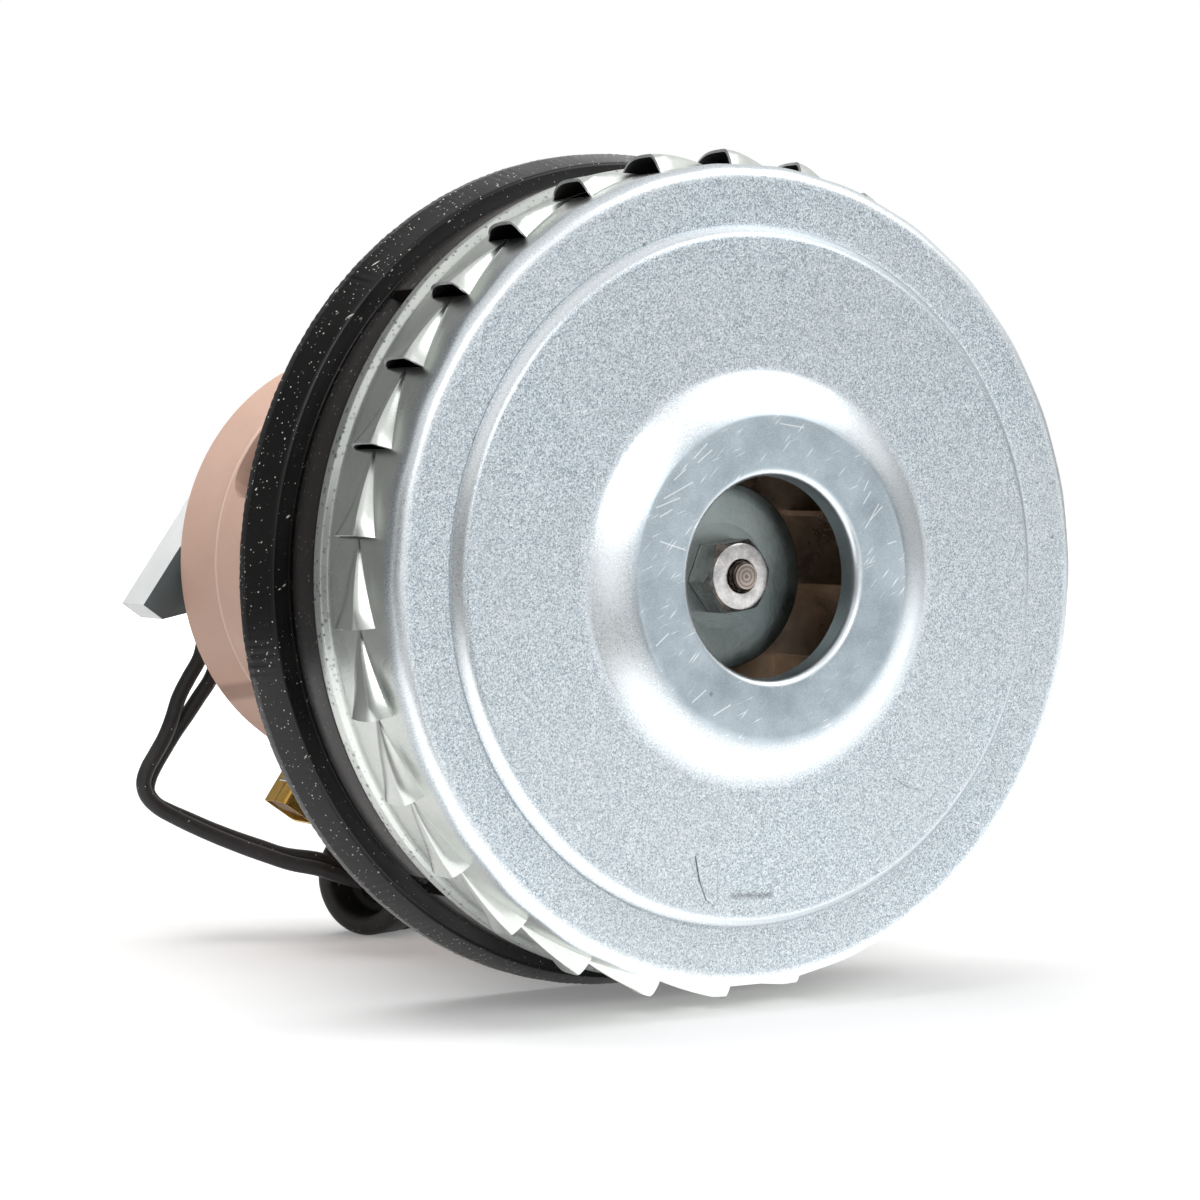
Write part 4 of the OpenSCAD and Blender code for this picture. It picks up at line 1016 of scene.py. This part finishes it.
shaft = make_shaft()
fit(shaft, "shaft", ROTOR, TURNED_STEEL)
print("nut and shaft:", len(nut.data.polygons), len(shaft.data.polygons))

# %% Dished clamp washer
washer = revolve("clamp_washer_skin", rounded_profile([
    (3.25, 12.4), (8.6, 12.35, 2.0, 4), (12.4, 12.05, 2.0, 4), (15.1, 11.8, 0.25, 3),
    (15.1, 12.75, 0.25, 3), (9.0, 13.6, 1.0, 2), (3.25, 13.6)]), 144, 30.0)
fit(washer, "clamp_washer", ROTOR, WASHER_STEEL)
print("washer faces:", len(washer.data.polygons))

# %% [markdown]
# ## Brass brush holders
# Each holder is a strip of brass folded into a box, pushed into the housing from outside.
# Inside the pocket it has the full width of the brush; the part that stands out is
# narrower. Where the strip's ends meet, a dark seam stays open, and a bent flap closes the
# end. The box is a rounded outline swept along its length, with a real gap along the seam.

# %% Brush holders
BRUSH_ANGLES = {"1": 233.0, "2": 53.0}
BRUSH_Y = 105.5
HOLDER_HALF_W = 3.4
HOLDER_IN, POCKET_OUT, HOLDER_OUT = 16.0, 44.9, 53.9
POCKET_HALF = 5.8
END_TURN, END_LOW, END_HIGH = 2.4, -3.9, 3.5
END_SEAM = END_HIGH - 4.6


def holder_frame(angle):
    """Matrix from the holder's own axes (out, across, along the shaft) to the object's."""
    a = math.radians(angle)
    out = Vector((math.cos(a), 0.0, math.sin(a)))
    across = Vector((math.sin(a), 0.0, -math.cos(a)))
    along = Vector((0.0, 1.0, 0.0))
    place = Matrix((out, across, along)).transposed().to_4x4()
    place.translation = along * BRUSH_Y * MM
    return place


def put_in_place(obj, place, sharp):
    """Bakes the modifiers, moves the mesh by a matrix and closes it."""
    apply_modifiers(obj).data.transform(place)
    return close_up(obj, sharp)


def folded_outline(low, high, seam, gap, r=1.1, steps=5):
    """Open outline of the folded strip in (across, along), from the seam round to the seam."""
    w = HOLDER_HALF_W
    out = [(w, seam + gap / 2), (w, (seam + high - r) / 2)]
    for cx, cy, start in ((w - r, high - r, 0), (-w + r, high - r, 90), (-w + r, low + r, 180),
                          (w - r, low + r, 270)):
        out.extend(arc(cx, cy, r, start, start + 90, steps))
    out.append((w, seam - gap / 2))
    return out


def folded_box(name, angle, start, end, low, high, seam, gap):
    outline = folded_outline(low, high, seam, gap)
    stations = [(start, 1.0), ((start + end) / 2, 1.0), (end - 0.2, 1.0), (end, 0.985)]
    points = [(x * MM, p * shrink * MM, q * MM) for x, shrink in stations for p, q in outline]
    box = mesh_object(name, points, grid_faces(len(stations), len(outline)))
    add_modifier(box, "SOLIDIFY", thickness=0.45 * MM, offset=-1.0)
    return put_in_place(box, holder_frame(angle), 30.0)


def end_flap(name, angle, low, high):
    """The flap over the end: a thin bent plate, a little narrower than the box."""
    w = HOLDER_HALF_W
    path = [(HOLDER_OUT - 2.6, -w + 0.78), (HOLDER_OUT - 1.0, -w + 0.72)]
    path += arc(HOLDER_OUT - 0.9, -w + 1.12, 0.42, 180, 90, 5)
    path += [(HOLDER_OUT - 0.42, 0.0), (HOLDER_OUT - 0.5, w - 1.15)]
    path += arc(HOLDER_OUT - 0.92, w - 1.2, 0.42, 90, 20, 4)
    sides = [low + 0.1, low + 0.3, high - 1.0, high - 0.75]
    points = [(x * MM, y * MM, z * MM) for x, y in path for z in sides]
    flap = mesh_object(name, points, grid_faces(len(path), len(sides), flip=True))
    add_modifier(flap, "SOLIDIFY", thickness=0.5 * MM, offset=0.0)
    add_modifier(flap, "BEVEL", width=0.1 * MM, segments=2, limit_method="ANGLE")
    return put_in_place(flap, holder_frame(angle), 30.0)


for number, angle in BRUSH_ANGLES.items():
    turned = angle + END_TURN
    inner = folded_box("brass_pocket_" + number, angle, HOLDER_IN, POCKET_OUT,
                       -POCKET_HALF, POCKET_HALF, 0.0, 0.3)
    outer = folded_box("brass_box_" + number, turned, POCKET_OUT - 0.3, HOLDER_OUT,
                       END_LOW, END_HIGH, END_SEAM, 0.32)
    flap = end_flap("brass_flap_" + number, turned, END_LOW, END_HIGH)
    fit(inner, "brush_holder_" + number, ROOT, BRASS)
    fit(outer, None, ROOT, BRASS)
    fit(flap, "brush_cap_" + number, ROOT, DULL_BRASS)
print("brush holders:", len(BRUSH_ANGLES))

# %% [markdown]
# The brush springs are coils of thin steel wire inside the holders; each flattens with the
# brush towards its fixed outer end. Here a helix of points is given a round section.

# %% Brush springs
SPRING_START, SPRING_END, SPRING_KEEP = 38.4, 50.0, 0.48
SPRING_R, SPRING_WIRE, SPRING_TURNS, STEPS_PER_TURN = 2.3, 0.3, 7, 24


def spring_mesh(name, angle):
    steps, sides = SPRING_TURNS * STEPS_PER_TURN, 8
    points = []
    for i in range(steps + 1):
        a = 2.0 * math.pi * SPRING_TURNS * i / steps
        x = SPRING_START + (SPRING_END - SPRING_START) * i / steps
        for k in range(sides):
            b = 2.0 * math.pi * k / sides
            r = SPRING_R + SPRING_WIRE * math.cos(b)
            points.append(((x + SPRING_WIRE * math.sin(b)) * MM, r * math.cos(a) * MM,
                           r * math.sin(a) * MM))
    faces = grid_faces(steps + 1, sides, round_rows=True, flip=True)
    faces.append(tuple(range(sides)))
    faces.append(tuple(range(steps * sides, (steps + 1) * sides))[::-1])
    return put_in_place(mesh_object(name, points, faces), holder_frame(angle), 60.0)


for number, angle in BRUSH_ANGLES.items():
    spring = spring_mesh("coil_spring_" + number, angle)
    fit(spring, "brush_spring_" + number, ROOT, BEARING_STEEL)
    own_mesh(spring)
print("springs keep", SPRING_KEEP, "of their length at the brush's limit")

# %% [markdown]
# ## Grommet and plug housing
# The rubber grommet is a thick sleeve lying on the floor. Its mouth is a dark recess with a
# rounded, slightly lighter rim, and shallow ribs run round its body. The leads end in a
# pale two-way plug housing with a latch, which gets small rounded edges here.

# %% Grommet
GROMMET_AT, GROMMET_TURN = Vector((-9.0, 118.5, -59.4)), 25.0
GROMMET_R, GROMMET_LEN = 10.6, 20.0


def make_grommet():
    profile = rounded_profile([
        (5.2, 6.0), (6.6, 6.0, 1.0, 3), (7.0, 0.0, 1.1, 6), (GROMMET_R - 0.1, 0.0, 3.1, 9),
        (GROMMET_R, 8.2, 0.6, 2), (GROMMET_R - 0.7, 8.9, 0.5, 2), (GROMMET_R - 0.7, 10.1, 0.5, 2),
        (GROMMET_R, 10.8, 0.6, 2), (GROMMET_R - 0.1, GROMMET_LEN, 3.0, 8),
        (5.2, GROMMET_LEN, 0.8, 3), (4.6, 13.0)])
    up, along = Vector((0.0, 0.0, 1.0)), Vector(polar(1000.0, 0.0, GROMMET_TURN)).xzy
    place = Matrix((up.cross(along), along, up)).transposed().to_4x4()
    place.translation = GROMMET_AT * MM
    return put_in_place(revolve("rubber_grommet", profile, 96, 50.0), place, 50.0)


grommet = make_grommet()
fit(grommet, "grommet", ROOT, GROMMET_RUBBER)
print("grommet faces:", len(grommet.data.polygons))

# %% [markdown]
# Some parts of the working model have the right shape but edges that are too sharp. A copy
# of such a part is welded, its flat areas are joined again, and a small bevel is put on
# the corners, so that light catches them as on a moulded part.

# %% Rounded copies of plain parts
def rounded_copy(node, name, width):
    """A copy of a CAD part with bevelled edges."""
    source = NODES[node].data
    made = mesh_object(name, [tuple(v.co) for v in source.vertices],
                       [tuple(p.vertices) for p in source.polygons])
    bm = bmesh.new()
    bm.from_mesh(made.data)
    bmesh.ops.remove_doubles(bm, verts=bm.verts, dist=0.000002)
    bmesh.ops.dissolve_limit(bm, angle_limit=math.radians(1.0), verts=bm.verts, edges=bm.edges)
    bm.to_mesh(made.data)
    bm.free()
    add_modifier(made, "BEVEL", width=width * MM, segments=2, limit_method="ANGLE",
                 angle_limit=math.radians(40.0))
    apply_modifiers(made)
    finish_shading(made.data, 35.0)
    return made


plug = rounded_copy("lead_connector", "plug_housing", 0.35)
fit(plug, "lead_connector", ROOT, IVORY_PLASTIC)
# Painted light: the block's two sides facing these ways take the near-white copy of its plastic.
LIT_SIDES = [(-0.82, 0.0, 0.57), (-0.57, 0.0, -0.82)]
block = set_material(rounded_copy("terminal_block", "block_housing", 0.3), BLOCK_PLASTIC)
block.data.materials.append(LIT_SIDE_PLASTIC)
for face in block.data.polygons:
    if max(face.normal.dot(Vector(way)) for way in LIT_SIDES) > 0.95:
        face.material_index = 1
fit(block, "terminal_block", ROOT)
print("plug and block faces:", len(plug.data.polygons), len(block.data.polygons))

# %% The two leads
for name, (node, length, route) in LEAD_ROUTES.items():
    line = smooth_route(route)
    lead = tube(name, line, LEAD_RADIUS)
    fit(lead, node, ROOT, LEAD_COVER)
print("leads:", list(LEAD_ROUTES))

# %% [markdown]
# ## The other parts
# Everything else keeps its shape from the working model and only takes a finish.

# %% Finishes for the other parts
PART_FINISHES = [
    (PINK, ["motor_housing", "fan_shroud"]),
    (BLACK_PLASTIC, ["end_bracket", "air_liner", "cooling_fan"]),
    (BEARING_STEEL, ["front_bearing_outer", "front_bearing_inner", "front_bearing_balls",
                     "rear_bearing_outer", "rear_bearing_inner", "rear_bearing_balls"]),
    (TURNED_STEEL, ["wave_washer", "housing_screws", "shroud_screws", "rear_clamp_washer",
                    "shaft_spacer"]),
    (WARM_REFLECTION_FAN_SHEET, ["impeller_hub", "impeller_front_plate", "impeller_blades",
                 "impeller_back_plate"]),
    (CORE_SHEETS, ["stator_core", "armature_core"]),
    (COPPER, ["field_coil_1", "field_coil_2", "armature_winding", "commutator"]),
    (CARBON, ["carbon_brush_1", "carbon_brush_2"]),
]
for finish, names in PART_FINISHES:
    for name in names:
        for place in bpy.data.objects[name].material_slots:
            place.material = finish
print("parts with a new finish:", sum(len(names) for _, names in PART_FINISHES))

# %% [markdown]
# ## Floor, room and lamps
# The motor lies on a white table in a white room. The floor is lit like any pale surface
# and gets a little glow for the camera and for reflections, so that it reads as white
# there and still keeps the soft shadow. The room is plain white to the camera and to the
# metal. Two curved and three flat cards, seen only in reflections, give the side wall its
# dark tones and the face its light ones.

# %% Floor and room
FLOOR_GLOW, ROOM_LIGHT = 0.2, 0.35
FLOOR_SIDE, GLOW_FROM, GLOW_FULL = 12.0, 250.0, 1200.0


def plate(name, width, height, level=0.0):
    w, h = width / 2, height / 2
    corners = [(-w, -h, level), (w, -h, level), (w, h, level), (-w, h, level)]
    return mesh_object(name, corners, [(0, 1, 2, 3)])


def light_path_mask(tree):
    """1 for rays of the camera, of reflections and of transmission, and 0 for the rest."""
    path = tree.nodes.new("ShaderNodeLightPath").outputs
    seen = most(path["Is Camera Ray"], path["Is Glossy Ray"])
    return most(seen, path["Is Transmission Ray"])


def make_floor():
    """A pale table; its glow grows far from the motor, where the lamps no longer reach."""
    made = Finish("floor_paint", Base_Color=grey(0.8), Roughness=0.9, Specular_IOR_Level=0.0,
                  Emission_Color=grey(1.0))
    across, back = made.place()
    away = maths("ADD", times(back, back), times(across, across))
    glow = map_range(maths("SQRT", away), GLOW_FROM, GLOW_FULL, FLOOR_GLOW, 1.0)
    made.wire("Emission Strength", times(glow, light_path_mask(made.tree)))
    set_material(plate("floor", FLOOR_SIDE, FLOOR_SIDE, CAD_BOX[0][2]), made.material)


def make_room():
    world = bpy.data.worlds.new("white_room")
    bpy.context.scene.world = world
    world.use_nodes = True
    tree = world.node_tree
    shade = tree.nodes["Background"].inputs
    shade["Color"].default_value = grey(1.0)
    light = map_range(light_path_mask(tree), 0.0, 1.0, ROOM_LIGHT, 1.0)
    tree.links.new(light, shade["Strength"])


make_floor()
make_room()
print("floor and room are white")

# %% Lamps and cards
CENTRE = (0.0, 0.06, 0.0)
CARD_MIDDLE, CARD_RADIUS = Vector((-0.06, 0.04, 0.0)), 0.22


def aim(obj, place, target):
    obj.location = Vector(place)
    obj.rotation_euler = (Vector(target) - Vector(place)).to_track_quat("-Z", "Y").to_euler()
    return obj


def soft_lamp(name, place, target, side, power, reflected=True):
    data = bpy.data.lights.new(name, "AREA")
    data.shape = "RECTANGLE"
    data.size = data.size_y = side
    data.energy = power
    lamp = aim(link(bpy.data.objects.new(name, data)), place, target)
    lamp.visible_glossy = reflected


def reflection_only(obj, tone=None):
    """Lets only reflections see a card's glow: one grey, or the tone stored in its points."""
    made = Finish("card_" + obj.name, Base_Color=grey(0.0), Roughness=1.0,
                  Specular_IOR_Level=0.0, Emission_Strength=1.0)
    if tone is None:
        stored = add_node(made.tree, "ShaderNodeAttribute", attribute_name="tone")
        made.wire("Emission Color", stored.outputs["Color"])
    else:
        made.shader.inputs["Emission Color"].default_value = grey(tone)
    set_material(obj, made.material)
    obj.visible_camera = obj.visible_diffuse = False
    obj.visible_shadow = obj.visible_transmission = False


def grey_card(name, place, target, width, height, tone):
    """A flat card of one grey."""
    reflection_only(aim(plate(name, width, height), place, target), tone)


def curved_card(name, turns, heights, tones):
    """Part of a sphere round the motor; tones are (angle, grey) pairs, 0 is straight back."""
    columns, rows = 48, 12
    points, greys = [], []
    for i in range(columns + 1):
        turned = turns[0] + (turns[1] - turns[0]) * i / columns
        for (a0, g0), (a1, g1) in zip(tones, tones[1:]):
            if a0 <= turned <= a1:
                tone = g0 + (g1 - g0) * (turned - a0) / (a1 - a0)
        for k in range(rows + 1):
            up = math.radians(heights[0] + (heights[1] - heights[0]) * k / rows)
            a = math.radians(turned)
            way = Vector((math.sin(a) * math.cos(up), math.cos(a) * math.cos(up), math.sin(up)))
            points.append(CARD_MIDDLE + CARD_RADIUS * way)
            greys.append(tone)
    card = mesh_object(name, points, grid_faces(columns + 1, rows + 1))
    stored = card.data.attributes.new("tone", "FLOAT_COLOR", "POINT")
    for point, tone in zip(stored.data, greys):
        point.color = grey(tone)
    reflection_only(card)


soft_lamp("top_lamp", (-0.05, 0.25, 1.1), CENTRE, 1.2, 11.0, reflected=False)
soft_lamp("front_lamp", (0.6, -0.5, 0.8), CENTRE, 0.7, 4.0)
soft_lamp("key_lamp", (-0.25, -0.85, 0.45), (0.0, 0.0, 0.0), 0.35, 1.8)
soft_lamp("left_lamp", (-0.3, 0.3, 0.8), (0.0, 0.08, 0.0), 0.4, 1.8, reflected=False)
curved_card("back_left_card", (-100.0, 42.0), (-19.0, 64.0),
            [(-100.0, 0.6), (-85.0, 0.3), (-24.0, 0.26), (-10.0, 0.3), (0.0, 0.34),
             (15.0, 0.45), (30.0, 0.7), (42.0, 1.0)])
curved_card("front_left_card", (-168.0, -101.0), (-19.0, 22.0),
            [(-168.0, 1.0), (-150.0, 0.5), (-132.0, 0.24), (-118.0, 0.24), (-108.0, 0.6),
             (-101.0, 0.6)])
grey_card("right_card", (0.9, 0.0, 0.05), CENTRE, 0.5, 0.4, 0.35)
grey_card("floor_card", (0.12, -0.245, -0.068), (0.12, -0.245, 1.0), 0.9, 0.52, 1.8)
grey_card("dark_floor_card", (-0.12, -0.27, -0.0674), (-0.12, -0.27, 1.0), 0.19, 0.32, 0.03)
print("lamps:", [lamp.name for lamp in bpy.data.lights])
